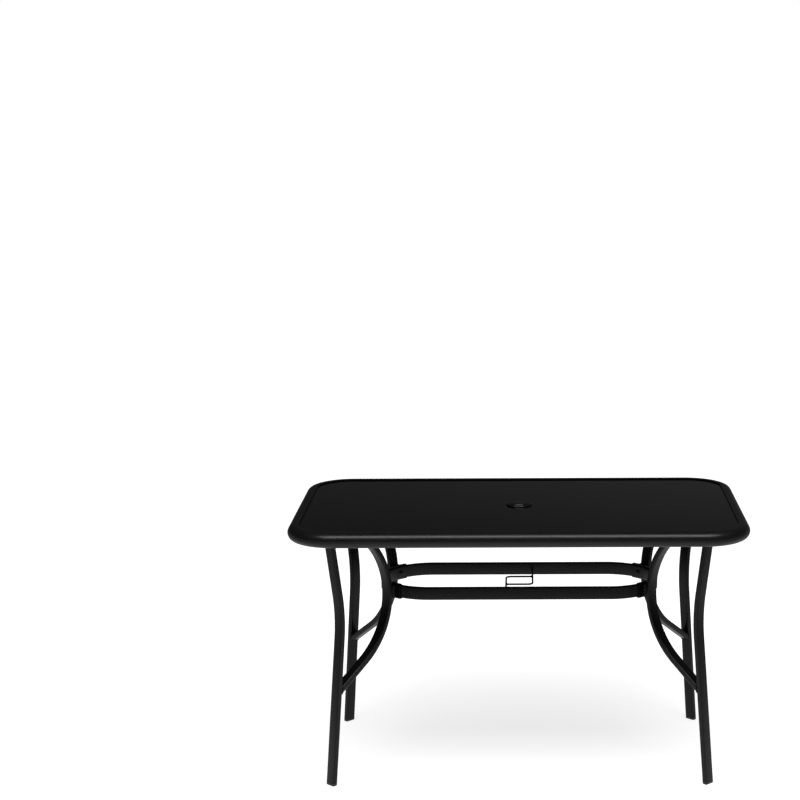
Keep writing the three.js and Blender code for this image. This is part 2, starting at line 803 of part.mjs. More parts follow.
// One guide wire: out from the hoop's long bar, round a bend, to the other wire
function wireGeometry() {
  const start = hoopInnerReach - seatGap;
  const bendEnd = guideHalfLength - wireDiameter / 2 - seatGap;
  const outline = circle(wireDiameter / 2, wireSides);
  const station = (x, y, angle) => {
    const along = new THREE.Vector3(Math.cos(angle), Math.sin(angle), 0);
    const side = new THREE.Vector3().crossVectors(Z, along);
    return { at: new THREE.Vector3(x, y, hoopMiddle), side, up: Z };
  };
  const stations = [station(-guideHalfLength, -start, Math.PI / 2)];
  for (let i = 0; i <= wireSteps; i += 1) {
    const turn = (Math.PI * i) / 2 / wireSteps;
    const x = -guideHalfLength + wireBend * (1 - Math.cos(turn));
    const y = guideHalfWidth - wireBend * (1 - Math.sin(turn));
    stations.push(station(x, y, Math.PI / 2 - turn));
  }
  stations.push(station(bendEnd, guideHalfWidth, 0));
  return sweep(stations, outline);
}

// The four corners, each with its name and which way it lies
const corners = [
  { name: "front_left", x: -1, y: -1 },
  { name: "front_right", x: 1, y: -1 },
  { name: "back_left", x: -1, y: 1 },
  { name: "back_right", x: 1, y: 1 },
];

// The direction, about Z, in which a corner's frame reaches out
function frameAngle({ x, y }) {
  return Math.atan2(y, x);
}

// The direction from the middle of the rim's corner arc to the head bar's end
function gussetAngle({ x, y }) {
  const reach = headBarEnd() * Math.SQRT1_2;
  return Math.atan2(y * (reach - cornerCentreY), x * (frameCentre + reach - cornerCentreX));
}

// A geometry drawn in the frame's plane, moved to its corner
function placeInFrame(geometry, corner) {
  return geometry.clone().rotateZ(frameAngle(corner)).translate(corner.x * frameCentre, 0, 0);
}

// A geometry drawn about the corner arc's middle, moved to its corner and turned on
function placeAtCorner(geometry, corner, turn = 0) {
  const placed = geometry.clone().rotateZ(gussetAngle(corner) + turn);
  return placed.translate(corner.x * cornerCentreX, corner.y * cornerCentreY, 0);
}

const table = new THREE.Group();

// Adds a piece to the table
function add(name, geometry, finish) {
  const mesh = new THREE.Mesh(geometry, finish);
  mesh.name = name;
  table.add(mesh);
}

add("top_rim", rimGeometry(), finishes.rimCoat);
add("glass_top", glassGeometry(), finishes.glass);
add("glass_seal", sealGeometry(), finishes.rubber);
add("hole_ring", ringGeometry(), finishes.plastic);
add("hole_cap", capGeometry(), finishes.plastic);
add("hoop", hoopGeometry(), finishes.powderCoat);
add("guide_wire_front", wireGeometry(), finishes.powderCoat);
add("guide_wire_back", wireGeometry().rotateZ(Math.PI), finishes.powderCoat);

for (const corner of corners) {
  const frame = [
    ["leg_tube", legGeometry(), finishes.powderCoat],
    ["c_brace", braceGeometry(), finishes.powderCoat],
    ["head_bar", headBarGeometry(), finishes.powderCoat],
    ["foot_cap", footGeometry(), finishes.plastic],
    ["glass_pad", padGeometry(), finishes.rubber],
    ["hoop_saddle", saddleGeometry(), finishes.powderCoat],
  ];
  for (const [piece, geometry, finish] of frame) {
    add(`${piece}_${corner.name}`, placeInFrame(geometry, corner), finish);
  }

  const hoopBolt = bolt(hoopBoltGrip).rotateY(-Math.PI / 2);
  hoopBolt.translate(hoopBoltSeat, 0, hoopMiddle);
  add(`hoop_bolt_${corner.name}`, placeInFrame(hoopBolt, corner), finishes.zinc);
  const hoopNut = nut().rotateY(Math.PI / 2).translate(hoopNutSeat, 0, hoopMiddle);
  add(`hoop_nut_${corner.name}`, placeInFrame(hoopNut, corner), finishes.zinc);

  const plainGusset = placeAtCorner(gussetGeometry(), corner);
  const frameBoltReach = headBarEnd() - frameBoltInset;
  const frameBoltHole = drill(boltDiameter + 2 * boreGap, -cutOverrun, cutOverrun);
  frameBoltHole.rotateY(Math.PI / 2).translate(frameBoltReach, 0, gussetTop);
  const rimBoltHoles = [-1, 1].map((side) =>
    placeAtCorner(rimBoltDrill(), corner, side * gussetBoltAngle),
  );
  const gusset = cut(plainGusset, placeInFrame(frameBoltHole, corner), ...rimBoltHoles);
  add(`gusset_${corner.name}`, gusset, finishes.powderCoat);

  const frameBolt = bolt(frameBoltGrip).rotateX(Math.PI);
  frameBolt.translate(frameBoltReach, 0, gussetTop - gussetSheet - seatGap);
  add(`frame_bolt_${corner.name}`, placeInFrame(frameBolt, corner), finishes.zinc);
  [-1, 1].forEach((side, i) => {
    const rimBolt = bolt(rimBoltGrip).rotateY(-Math.PI / 2);
    rimBolt.translate(gussetOuterRadius - gussetSheet - 2 * seatGap, 0, rimBoltHeight);
    const name = `rim_bolt_${corner.name}_${i + 1}`;
    add(name, placeAtCorner(rimBolt, corner, side * gussetBoltAngle), finishes.zinc);
  });
}

export default table;
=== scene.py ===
"""Garden table with a black glass top, dressed for a plain studio picture.

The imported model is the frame: every piece made here stands where the frame's
node stands and replaces it, or dresses the node itself. All lengths are metres.
"""

import logging
import math
from dataclasses import dataclass
from enum import Enum
from typing import Any, Sequence

import bmesh
import bpy
from mathutils import Matrix, Vector


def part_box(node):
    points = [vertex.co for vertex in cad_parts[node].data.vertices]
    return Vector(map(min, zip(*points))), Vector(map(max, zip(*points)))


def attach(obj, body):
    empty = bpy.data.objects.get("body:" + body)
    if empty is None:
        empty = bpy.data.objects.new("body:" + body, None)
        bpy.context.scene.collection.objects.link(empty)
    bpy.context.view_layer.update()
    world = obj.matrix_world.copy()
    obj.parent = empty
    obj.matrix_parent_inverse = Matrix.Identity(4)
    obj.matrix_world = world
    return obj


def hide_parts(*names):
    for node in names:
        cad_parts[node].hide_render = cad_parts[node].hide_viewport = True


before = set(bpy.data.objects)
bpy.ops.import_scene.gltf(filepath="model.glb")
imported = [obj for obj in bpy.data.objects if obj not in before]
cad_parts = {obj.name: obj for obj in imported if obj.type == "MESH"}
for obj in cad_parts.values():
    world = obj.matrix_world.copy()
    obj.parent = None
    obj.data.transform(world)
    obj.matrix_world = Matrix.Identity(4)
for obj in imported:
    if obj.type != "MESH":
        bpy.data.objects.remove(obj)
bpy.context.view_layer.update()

logging.basicConfig(level=logging.INFO, format="%(message)s")
log = logging.getLogger("garden_table")

Point2 = tuple[float, float]
Point3 = tuple[float, float, float]
Piece = bpy.types.Object
Socket = bpy.types.NodeSocket
Tree = bpy.types.NodeTree

MM = 0.001
UP = Vector((0.0, 0.0, 1.0))
WHITE = (1.0, 1.0, 1.0, 1.0)
SEAT = 0.0003  # the gap at which the CAD seats one piece on another
COINCIDENT = 1e-7  # points of a skin nearer than this are one
QUARTERS = ((1, 1), (-1, 1), (-1, -1), (1, -1))


class Body(Enum):
    """The two bodies that pieces ride on."""

    TABLE = "table"
    CAP = "cap"


class Slot(Enum):
    """The material slots that pieces are finished by."""

    RIM = "rim_powder_coat"
    FRAME = "frame_powder_coat"
    GLASS = "black_glass"
    PLASTIC = "black_plastic"
    RUBBER = "black_rubber"
    ZINC = "black_zinc"


class Corner(Enum):
    """The four corners, each with the way it lies along X and Y."""

    FRONT_LEFT = (-1, -1)
    FRONT_RIGHT = (1, -1)
    BACK_LEFT = (-1, 1)
    BACK_RIGHT = (1, 1)

    @property
    def label(self) -> str:
        """The corner's name as the nodes spell it."""
        return self.name.lower()


# Colour and nodes


def linear(hex_colour: str) -> tuple[float, float, float, float]:
    """Turns an sRGB hex colour to the linear values that shaders take.

    Args:
        hex_colour: six hex digits after a #.

    Returns:
        Linear red, green, blue and an alpha of one.
    """
    channels = [int(hex_colour[i : i + 2], 16) / 255 for i in (1, 3, 5)]
    turned = [c / 12.92 if c <= 0.04045 else ((c + 0.055) / 1.055) ** 2.4 for c in channels]
    return (turned[0], turned[1], turned[2], 1.0)


def add_node(tree: Tree, kind: str, inputs: dict[str | int, Any] | None = None, **settings: Any) -> Any:
    """Adds a node with its settings, and sets or links its inputs.

    Args:
        tree: the node tree.
        kind: the node's type name.
        inputs: input name or index to a value, or to a socket to link.
        **settings: attributes of the node.

    Returns:
        The node.
    """
    node = tree.nodes.new(kind)
    for name, value in settings.items():
        setattr(node, name, value)
    for key, value in (inputs or {}).items():
        if isinstance(value, Socket):
            tree.links.new(value, node.inputs[key])
        else:
            node.inputs[key].default_value = value
    return node


def ramp(tree: Tree, value: Socket, source: Point2, target: Point2, **settings: Any) -> Socket:
    """Maps a value from a source range to a target range."""
    ends = {"From Min": source[0], "From Max": source[1], "To Min": target[0], "To Max": target[1]}
    return add_node(tree, "ShaderNodeMapRange", {"Value": value, **ends}, **settings).outputs["Result"]


def maths(tree: Tree, operation: str, *values: Any, **settings: Any) -> Socket:
    """Does one step of arithmetic on values or sockets."""
    inputs = dict(enumerate(values))
    return add_node(tree, "ShaderNodeMath", inputs, operation=operation, **settings).outputs[0]


# Finishes


class Shading:
    """One material, with patterns that hold to the piece's own space."""

    noise_range: Point2 = (0.3, 0.7)  # where most of a noise's values lie

    def __init__(self, name: str) -> None:
        """Starts an empty material.

        Args:
            name: the material's name.
        """
        self.material = bpy.data.materials.new(name)
        self.material.use_nodes = True
        self.tree = self.material.node_tree
        self.tree.nodes.clear()
        self.space = add_node(self.tree, "ShaderNodeTexCoord").outputs["Object"]

    def noise(self, size_mm: float, layers: Point2) -> Socket:
        """Adds clouds.

        Args:
            size_mm: about how far they are across.
            layers: how many finer layers they have, and how strong these are.

        Returns:
            The clouds' height, from zero to one.
        """
        inputs = {"Vector": self.space, "Scale": 1 / (size_mm * MM)}
        inputs |= {"Detail": layers[0], "Roughness": layers[1]}
        return add_node(self.tree, "ShaderNodeTexNoise", inputs).outputs["Fac"]

    def spread(self, clouds: Socket, value: float, shares: Point2) -> Socket:
        """Lets a value wander with clouds, between two shares of itself."""
        return ramp(self.tree, clouds, self.noise_range, (value * shares[0], value * shares[1]))

    def blend(self, share: Socket, first: str, second: str) -> Socket:
        """Blends two hex colours by a share."""
        inputs = {"Factor": share, "A": linear(first), "B": linear(second)}
        return add_node(self.tree, "ShaderNodeMix", inputs, data_type="RGBA").outputs[2]

    def bump(self, height: Socket, strength: float, depth_mm: float) -> Socket:
        """Turns a height to a bump of a depth, at a strength."""
        inputs = {"Height": height, "Strength": strength, "Distance": depth_mm * MM}
        return add_node(self.tree, "ShaderNodeBump", inputs).outputs["Normal"]

    def finish(self, inputs: dict[str | int, Any]) -> bpy.types.Material:
        """Ends the material with one principled shader.

        Args:
            inputs: the shader's inputs.

        Returns:
            The material.
        """
        shader = add_node(self.tree, "ShaderNodeBsdfPrincipled", inputs)
        add_node(self.tree, "ShaderNodeOutputMaterial", {"Surface": shader.outputs[0]})
        return self.material


@dataclass(frozen=True)
class PowderCoat:
    """Polyester powder coat, sprayed dry and baked on steel.

    The melt leaves a fine orange peel that breaks up reflections, and the film
    thins and thickens, so gloss and depth of black wander by a few percent.
    """

    name: str
    roughness: float
    roughness_spread: float
    peel_mm: float
    peel_height_mm: float
    ior: float
    colour: str = "#0e0e0f"
    thin_colour: str = "#131314"
    drift_mm: float = 70.0
    drift_layers: Point2 = (4.0, 0.6)
    peel_layers: Point2 = (2.0, 0.45)
    peel_strength: float = 0.5
    peels_per_speck: float = 9.0
    speck_range: Point2 = (0.0, 0.6)
    speck_dullness: float = 0.03

    def build(self) -> bpy.types.Material:
        """Builds the material."""
        shading = Shading(self.name)
        drift = shading.noise(self.drift_mm, self.drift_layers)
        # Real peel is 0.5 to 1 mm across; it is drawn a little coarser so that it shows.
        peel = shading.noise(self.peel_mm, self.peel_layers)
        scale = 1 / (self.peel_mm * MM * self.peels_per_speck)
        inputs = {"Vector": shading.space, "Scale": scale, "Randomness": 1.0}
        grit = add_node(shading.tree, "ShaderNodeTexVoronoi", inputs).outputs["Distance"]
        speck = ramp(shading.tree, grit, self.speck_range, (self.speck_dullness, 0.0))
        ends = (self.roughness - self.roughness_spread, self.roughness + self.roughness_spread)
        gloss = ramp(shading.tree, drift, shading.noise_range, ends)
        return shading.finish(
            {
                "Base Color": shading.blend(drift, self.colour, self.thin_colour),
                "Roughness": maths(shading.tree, "ADD", gloss, speck),
                "Normal": shading.bump(peel, self.peel_strength, self.peel_height_mm),
                "IOR": self.ior,
            }
        )


@dataclass(frozen=True)
class BackPaintedGlass:
    """Tempered soda-lime glass, fire-polished, opaque black behind.

    The furnace rollers leave a very long shallow wave in the sheet, and handling
    leaves faint films that dull the polish in patches.
    """

    name: str = "back_painted_tempered_glass"
    colour: str = "#030303"
    film_mm: float = 160.0
    film_layers: Point2 = (5.0, 0.65)
    film_range: Point2 = (0.35, 0.75)
    roughnesses: Point2 = (0.025, 0.07)  # of clean glass and of the film
    wave_mm: float = 300.0
    wave_depth_mm: float = 0.02
    wave_distortion: float = 1.5
    wave_detail: float = 1.0
    wave_strength: float = 0.3
    waves_per_scale: float = 20.0
    ior: float = 1.52

    def build(self) -> bpy.types.Material:
        """Builds the material."""
        shading = Shading(self.name)
        film = shading.noise(self.film_mm, self.film_layers)
        inputs = {
            "Vector": shading.space,
            "Scale": 1 / (self.wave_mm * MM * self.waves_per_scale),
            "Distortion": self.wave_distortion,
            "Detail": self.wave_detail,
        }
        wave = add_node(shading.tree, "ShaderNodeTexWave", inputs, bands_direction="X").outputs["Fac"]
        return shading.finish(
            {
                "Base Color": linear(self.colour),
                "Roughness": ramp(shading.tree, film, self.film_range, self.roughnesses),
                "Normal": shading.bump(wave, self.wave_strength, self.wave_depth_mm),
                "IOR": self.ior,
            }
        )


@dataclass(frozen=True)
class MouldedPlastic:
    """Injection-moulded polypropylene in a polished tool.

    It takes the tool's gloss, with a soft sink and ripple where it cooled.
    """

    name: str = "moulded_polypropylene_gloss"
    colour: str = "#0b0b0b"
    bloom_colour: str = "#121212"
    roughness: float = 0.22
    roughness_shares: Point2 = (0.85, 1.2)
    ripple_mm: float = 18.0
    ripple_layers: Point2 = (3.0, 0.5)
    ripple_height_mm: float = 0.05
    ripple_strength: float = 0.4
    ior: float = 1.49

    def build(self) -> bpy.types.Material:
        """Builds the material."""
        shading = Shading(self.name)
        ripple = shading.noise(self.ripple_mm, self.ripple_layers)
        return shading.finish(
            {
                "Base Color": shading.blend(ripple, self.colour, self.bloom_colour),
                "Roughness": shading.spread(ripple, self.roughness, self.roughness_shares),
                "Normal": shading.bump(ripple, self.ripple_strength, self.ripple_height_mm),
                "IOR": self.ior,
            }
        )


@dataclass(frozen=True)
class PressedRubber:
    """EPDM rubber, extruded or pressed: dull, with a fine sanded grain and a pale bloom."""

    name: str = "pressed_epdm_rubber"
    colour: str = "#101010"
    bloom_colour: str = "#1c1c1b"
    roughness: float = 0.78
    grain_mm: float = 0.8
    grain_layers: Point2 = (6.0, 0.7)
    grain_depth_share: float = 0.1
    grain_strength: float = 0.6
    ior: float = 1.52

    def build(self) -> bpy.types.Material:
        """Builds the material."""
        shading = Shading(self.name)
        depth_mm = self.grain_mm * self.grain_depth_share
        grain = shading.noise(self.grain_mm, self.grain_layers)
        return shading.finish(
            {
                "Base Color": shading.blend(grain, self.colour, self.bloom_colour),
                "Roughness": self.roughness,
                "Normal": shading.bump(grain, self.grain_strength, depth_mm),
                "IOR": self.ior,
            }
        )


@dataclass(frozen=True)
class BlackZinc:
    """Steel bolts, zinc plated and black passivated.

    The film is thin, so the metal still glints, with a faint straw cast where it
    is thinnest.
    """

    name: str = "black_passivated_zinc"
    colour: str = "#1b1b1d"
    thin_colour: str = "#34322d"
    roughness: float = 0.34
    roughness_shares: Point2 = (0.8, 1.25)
    cloud_mm: float = 3.0
    cloud_layers: Point2 = (5.0, 0.6)
    metal_share: float = 0.85

    def build(self) -> bpy.types.Material:
        """Builds the material."""
        shading = Shading(self.name)
        cloud = shading.noise(self.cloud_mm, self.cloud_layers)
        return shading.finish(
            {
                "Base Color": shading.blend(cloud, self.colour, self.thin_colour),
                "Roughness": shading.spread(cloud, self.roughness, self.roughness_shares),
                "Metallic": self.metal_share,
            }
        )


FINISHES: dict[Slot, Any] = {
    Slot.RIM: PowderCoat(
        "powder_coat_semi_gloss",
        roughness=0.33,
        roughness_spread=0.03,
        peel_mm=1.4,
        peel_height_mm=0.05,
        ior=1.4,
    ),
    Slot.FRAME: PowderCoat(
        "powder_coat_satin",
        roughness=0.28,
        roughness_spread=0.04,
        peel_mm=1.2,
        peel_height_mm=0.06,
        ior=1.33,
    ),
    Slot.GLASS: BackPaintedGlass(),
    Slot.PLASTIC: MouldedPlastic(),
    Slot.RUBBER: PressedRubber(),
    Slot.ZINC: BlackZinc(),
}


# Outlines and skins


def between(start: float, end: float, steps: int) -> list[float]:
    """Evenly spaced values from start to end, both included."""
    return [start + (end - start) * i / steps for i in range(steps + 1)]


def heading(angle: float) -> Vector:
    """The level unit vector at an angle from X."""
    return Vector((math.cos(angle), math.sin(angle), 0))


def arc(centre: Point2, radii: Point2, start_deg: float, end_deg: float, steps: int) -> list[Point2]:
    """Points along the arc of a circle or an ellipse, both ends included."""
    angles = [math.radians(angle) for angle in between(start_deg, end_deg, steps)]
    return [(centre[0] + radii[0] * math.cos(a), centre[1] + radii[1] * math.sin(a)) for a in angles]


def rounded_rectangle(size: Point2, radius: float, steps: int, inset: float = 0.0) -> list[Point2]:
    """Outline of a rectangle with round corners, anticlockwise.

    Args:
        size: the full width and height.
        radius: the corner radius.
        steps: steps in each corner.
        inset: how far the outline is drawn in on every side.

    Returns:
        The points.
    """
    points = []
    for quarter, (sx, sy) in enumerate(QUARTERS):
        middle = (sx * (size[0] / 2 - radius), sy * (size[1] / 2 - radius))
        points += arc(middle, (radius - inset, radius - inset), 90 * quarter, 90 * (quarter + 1), steps)
    return points


def circle(radius: float, sides: int) -> list[Point2]:
    """Outline of a circle, anticlockwise from X."""
    angles = [2 * math.pi * i / sides for i in range(sides)]
    return [(radius * math.cos(a), radius * math.sin(a)) for a in angles]


def filleted(points: Sequence[Point2], radius: float, steps: int) -> list[Point2]:
    """Rounds the inner points of an open line with arcs; none of them may be straight.

    Args:
        points: the line's points.
        radius: the bend radius.
        steps: steps in each bend.

    Returns:
        The line with its bends.
    """
    line = [Vector(p) for p in points]
    rounded = [line[0]]
    for before, here, after in zip(line, line[1:], line[2:]):
        into = (here - before).normalized()
        out = (after - here).normalized()
        half = into.angle(out) / 2
        reach = radius * math.tan(half)
        centre = here + (out - into).normalized() * (radius / math.cos(half))
        start = (here - into * reach - centre).normalized()
        end = (here + out * reach - centre).normalized()
        rounded += [centre + start.slerp(end, share) * radius for share in between(0, 1, steps)]
    rounded.append(line[-1])
    return [(p.x, p.y) for p in rounded]


def bent_strip(middle: Sequence[Point2], sheet: float) -> list[Point2]:
    """Outline of a strip of sheet bent along a middle line.

    Args:
        middle: the middle line, clockwise for a profile bent that way.
        sheet: the sheet's thickness.

    Returns:
        The closed outline, anticlockwise.
    """
    line = [Vector(p) for p in middle]
    left, right = [], []
    for i, here in enumerate(line):
        into = (here - line[i - 1]).normalized() if i else (line[1] - here).normalized()
        out = (line[i + 1] - here).normalized() if i < len(line) - 1 else into
        normal = Vector((-into.y - out.y, into.x + out.x)).normalized()
        reach = sheet / 2 / normal.dot(Vector((-into.y, into.x)))
        left.append(here + normal * reach)
        right.append(here - normal * reach)
    return [(p.x, p.y) for p in right + left[::-1]]


@dataclass
class Station:
    """A place along a swept piece, with the two axes of its outline."""

    at: Vector
    side: Vector
    up: Vector

    @property
    def along(self) -> Vector:
        """The way of travel."""
        return self.side.cross(self.up)


@dataclass
class Plane:
    """A plane that mitres the end of a swept piece."""

    point: Vector
    normal: Vector

    def slide(self, place: Vector, along: Vector) -> Vector:
        """Slides a place along a direction onto the plane."""
        return place - along * ((place - self.point).dot(self.normal) / along.dot(self.normal))


def sweep(
    stations: Sequence[Station],
    outline: Sequence[Point2],
    start: Plane | None = None,
    end: Plane | None = None,
) -> list[list[Vector]]:
    """Carries an outline through stations.

    Args:
        stations: the stations.
        outline: the outline, anticlockwise.
        start: a plane that mitres the first ring.
        end: a plane that mitres the last ring.

    Returns:
        One ring of points for each station.
    """
    rings = []
    for station in stations:
        rings.append([station.at + station.side * x + station.up * y for x, y in outline])
    for plane, i in ((start, 0), (end, -1)):
        if plane:
            rings[i] = [plane.slide(point, stations[i].along) for point in rings[i]]
    return rings


def skin(
    name: str, rings: Sequence[Sequence[Vector]], closed: bool = False, sharp_deg: float = 40.0
) -> Piece:
    """Makes a closed mesh through rings of equally many points.

    Args:
        name: the piece's name.
        rings: the rings, each anticlockwise seen against the way of travel.
        closed: whether the last ring joins the first.
        sharp_deg: edges bent by more than this stay sharp.

    Returns:
        The new object, linked to the scene.
    """
    count = len(rings[0])
    points = [point for ring in rings for point in ring]
    faces = []
    for i in range(len(rings) if closed else len(rings) - 1):
        here, beyond = i * count, (i + 1) % len(rings) * count
        for j in range(count):
            k = (j + 1) % count
            faces.append((here + j, here + k, beyond + k, beyond + j))
    if not closed:
        faces.append(tuple(reversed(range(count))))
        faces.append(tuple(range((len(rings) - 1) * count, len(rings) * count)))
    mesh = bpy.data.meshes.new(name)
    mesh.from_pydata(points, [], faces)
    mesh.validate()
    shell = bmesh.new()
    shell.from_mesh(mesh)
    bmesh.ops.remove_doubles(shell, verts=shell.verts, dist=COINCIDENT)
    shell.to_mesh(mesh)
    shell.free()
    mesh.shade_smooth()
    mesh.set_sharp_from_angle(angle=math.radians(sharp_deg))
    piece = bpy.data.objects.new(name, mesh)
    bpy.context.scene.collection.objects.link(piece)
    return piece


def loop_track(length: float, width: float, radius: float, steps: int) -> list[Station]:
    """Stations round a rectangle with round corners, clockwise from above.

    Args:
        length: the size along X.
        width: the size along Y.
        radius: the corner radius.
        steps: steps in each corner.

    Returns:
        The stations, side pointing outwards and up staying up.
    """
    stations = []
    for quarter, (sx, sy) in reversed(list(enumerate(QUARTERS))):
        centre = Vector((sx * (length / 2 - radius), sy * (width / 2 - radius), 0))
        for turn in between(quarter + 1, quarter, steps):
            side = heading(turn * math.pi / 2)
            stations.append(Station(centre + side * radius, side, UP))
    return stations


@dataclass(frozen=True)
class Weld:
    """A weld bead that runs round a joint, with the ripple of its passes."""

    radius: float
    ripples: int
    ripple_share: float = 0.18
    sides: int = 8

    def build(self, name: str, loop: Sequence[Vector]) -> Piece:
        """Builds the bead.

        Args:
            name: the piece's name.
            loop: the joint's points.

        Returns:
            The new object.
        """
        finer = []
        for here, after in zip(loop, list(loop[1:]) + [loop[0]]):
            pieces = max(1, round((after - here).length / self.radius))
            finer += [here.lerp(after, i / pieces) for i in range(pieces)]
        middle = sum(finer, Vector()) / len(finer)
        rings = []
        for i, here in enumerate(finer):
            along = (finer[(i + 1) % len(finer)] - finer[i - 1]).normalized()
            side = (here - middle).cross(along).normalized()
            up = along.cross(side)
            phase = 2 * math.pi * self.ripples * i / len(finer)
            swell = self.radius * (1 + self.ripple_share * math.sin(phase))
            rings.append([here + side * x + up * y for x, y in circle(swell, self.sides)])
        return skin(name, rings, closed=True, sharp_deg=80.0)


def hexagon(flats: float, sides: int) -> list[Point2]:
    """Points round a hexagon, as many as a circle's.

    Args:
        flats: its width over flats.
        sides: how many points.

    Returns:
        The points, anticlockwise from a corner on X.
    """
    points = []
    for i in range(sides):
        angle = 2 * math.pi * i / sides
        reach = flats / 2 / math.cos(angle % (math.pi / 3) - math.pi / 6)
        points.append((reach * math.cos(angle), reach * math.sin(angle)))
    return points


def level(outline: Sequence[Point2], height: float) -> list[Vector]:
    """A level ring of points at a height."""
    return [Vector((x, y, height)) for x, y in outline]


def soften(piece: Piece, radius: float, from_deg: float = 35.0) -> Piece:
    """Breaks a new piece's sharp edges.

    Args:
        piece: the piece.
        radius: the radius of the broken edges.
        from_deg: the bend from which an edge counts as sharp.

    Returns:
        The piece.
    """
    bevel = piece.modifiers.new("broken_edges", "BEVEL")
    bevel.width = radius
    bevel.segments = 2
    bevel.limit_method = "ANGLE"
    bevel.angle_limit = math.radians(from_deg)
    return piece


# Sizes of the table


@dataclass(frozen=True)
class FrameSizes:
    """Sizes of a corner frame, in its own upright plane.

    Reach is measured outwards along the diagonal from the middle of the hoop's
    round end, height from the ground.
    """

    centre: float = 0.240
    tube_width: float = 0.030
    tube_depth: float = 0.015
    tube_corner: float = 0.004
    tube_wall: float = 0.0012
    foot_reach: float = 0.36247
    foot_height: float = 0.007
    knee_reach: float = 0.32037
    knee_height: float = 0.4517
    lean_out: float = 0.16
    knee_radius: float = 0.480
    brace_inner_reach: float = 0.15153
    brace_radius: float = 0.2074
    brace_top_slope_deg: float = 23.8
    brace_tail_slope: float = 0.7
    head_bar_start: float = 0.25416
    head_bar_end: float = 0.42066
    hoop_rise: float = 0.002

    @property
    def top(self) -> float:
        """The height where leg and brace meet the head bar."""
        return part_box("leg_tube_front_left")[1].z

    @property
    def brace_centre_reach(self) -> float:
        """The reach of the middle of the brace's arc."""
        return self.brace_inner_reach + self.tube_depth / 2 + self.brace_radius

    @property
    def brace_centre_height(self) -> float:
        """The height of the middle of the brace's arc."""
        return self.top - self.brace_radius * math.cos(math.radians(self.brace_top_slope_deg))

    @property
    def hoop_height(self) -> float:
        """The height of the hoop's middle line."""
        return self.brace_centre_height + self.hoop_rise

    def leg_reach(self, height: float) -> float:
        """The reach of the leg's straight lower part at a height."""
        return self.foot_reach + (self.knee_reach - self.foot_reach) * height / self.knee_height

    def station(self, reach: float, height: float, angle: float) -> Station:
        """A station of a tube in the frame's plane.

        Args:
            reach: its reach.
            height: its height.
            angle: the slope of the tube above the level.

        Returns:
            The station, its outline's first axis across the plane.
        """
        along = Vector((math.cos(angle), 0.0, math.sin(angle)))
        across = Vector((0.0, 1.0, 0.0))
        return Station(Vector((reach, 0.0, height)), across, along.cross(across))


def frame_matrix(corner: Corner, centre: float) -> Matrix:
    """The matrix that takes the frame's plane to its corner."""
    x, y = corner.value
    return Matrix.Translation((x * centre, 0, 0)) @ Matrix.Rotation(math.atan2(y, x), 4, "Z")


class Dresser:
    """Builds each finish once, and dresses pieces with it."""

    def __init__(self) -> None:
        """Builds the finishes."""
        self.materials = {slot: finish.build() for slot, finish in FINISHES.items()}

    def paint(self, piece: Piece, slot: Slot) -> None:
        """Finishes a piece, or a CAD node that keeps its shape, and reports it.

        Args:
            piece: the piece.
            slot: its material slot.
        """
        piece.data.materials.clear()
        piece.data.materials.append(self.materials[slot])
        log.info("%s: %s", piece.name, slot.value)

    def dress(
        self,
        piece: Piece,
        slot: Slot,
        *nodes: str,
        at: Matrix = Matrix.Identity(4),
        body: Body = Body.TABLE,
    ) -> None:
        """Places and finishes a new piece and ties it to the frame.

        Args:
            piece: the piece; its object stays at the origin.
            slot: its material slot.
            *nodes: the CAD nodes that it stands for.
            at: takes its mesh to its place.
            body: the body that it rides on.
        """
        piece.data.transform(at)
        self.paint(piece, slot)
        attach(piece, body.value)
        if nodes:
            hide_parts(*nodes)


# Bolts and nuts


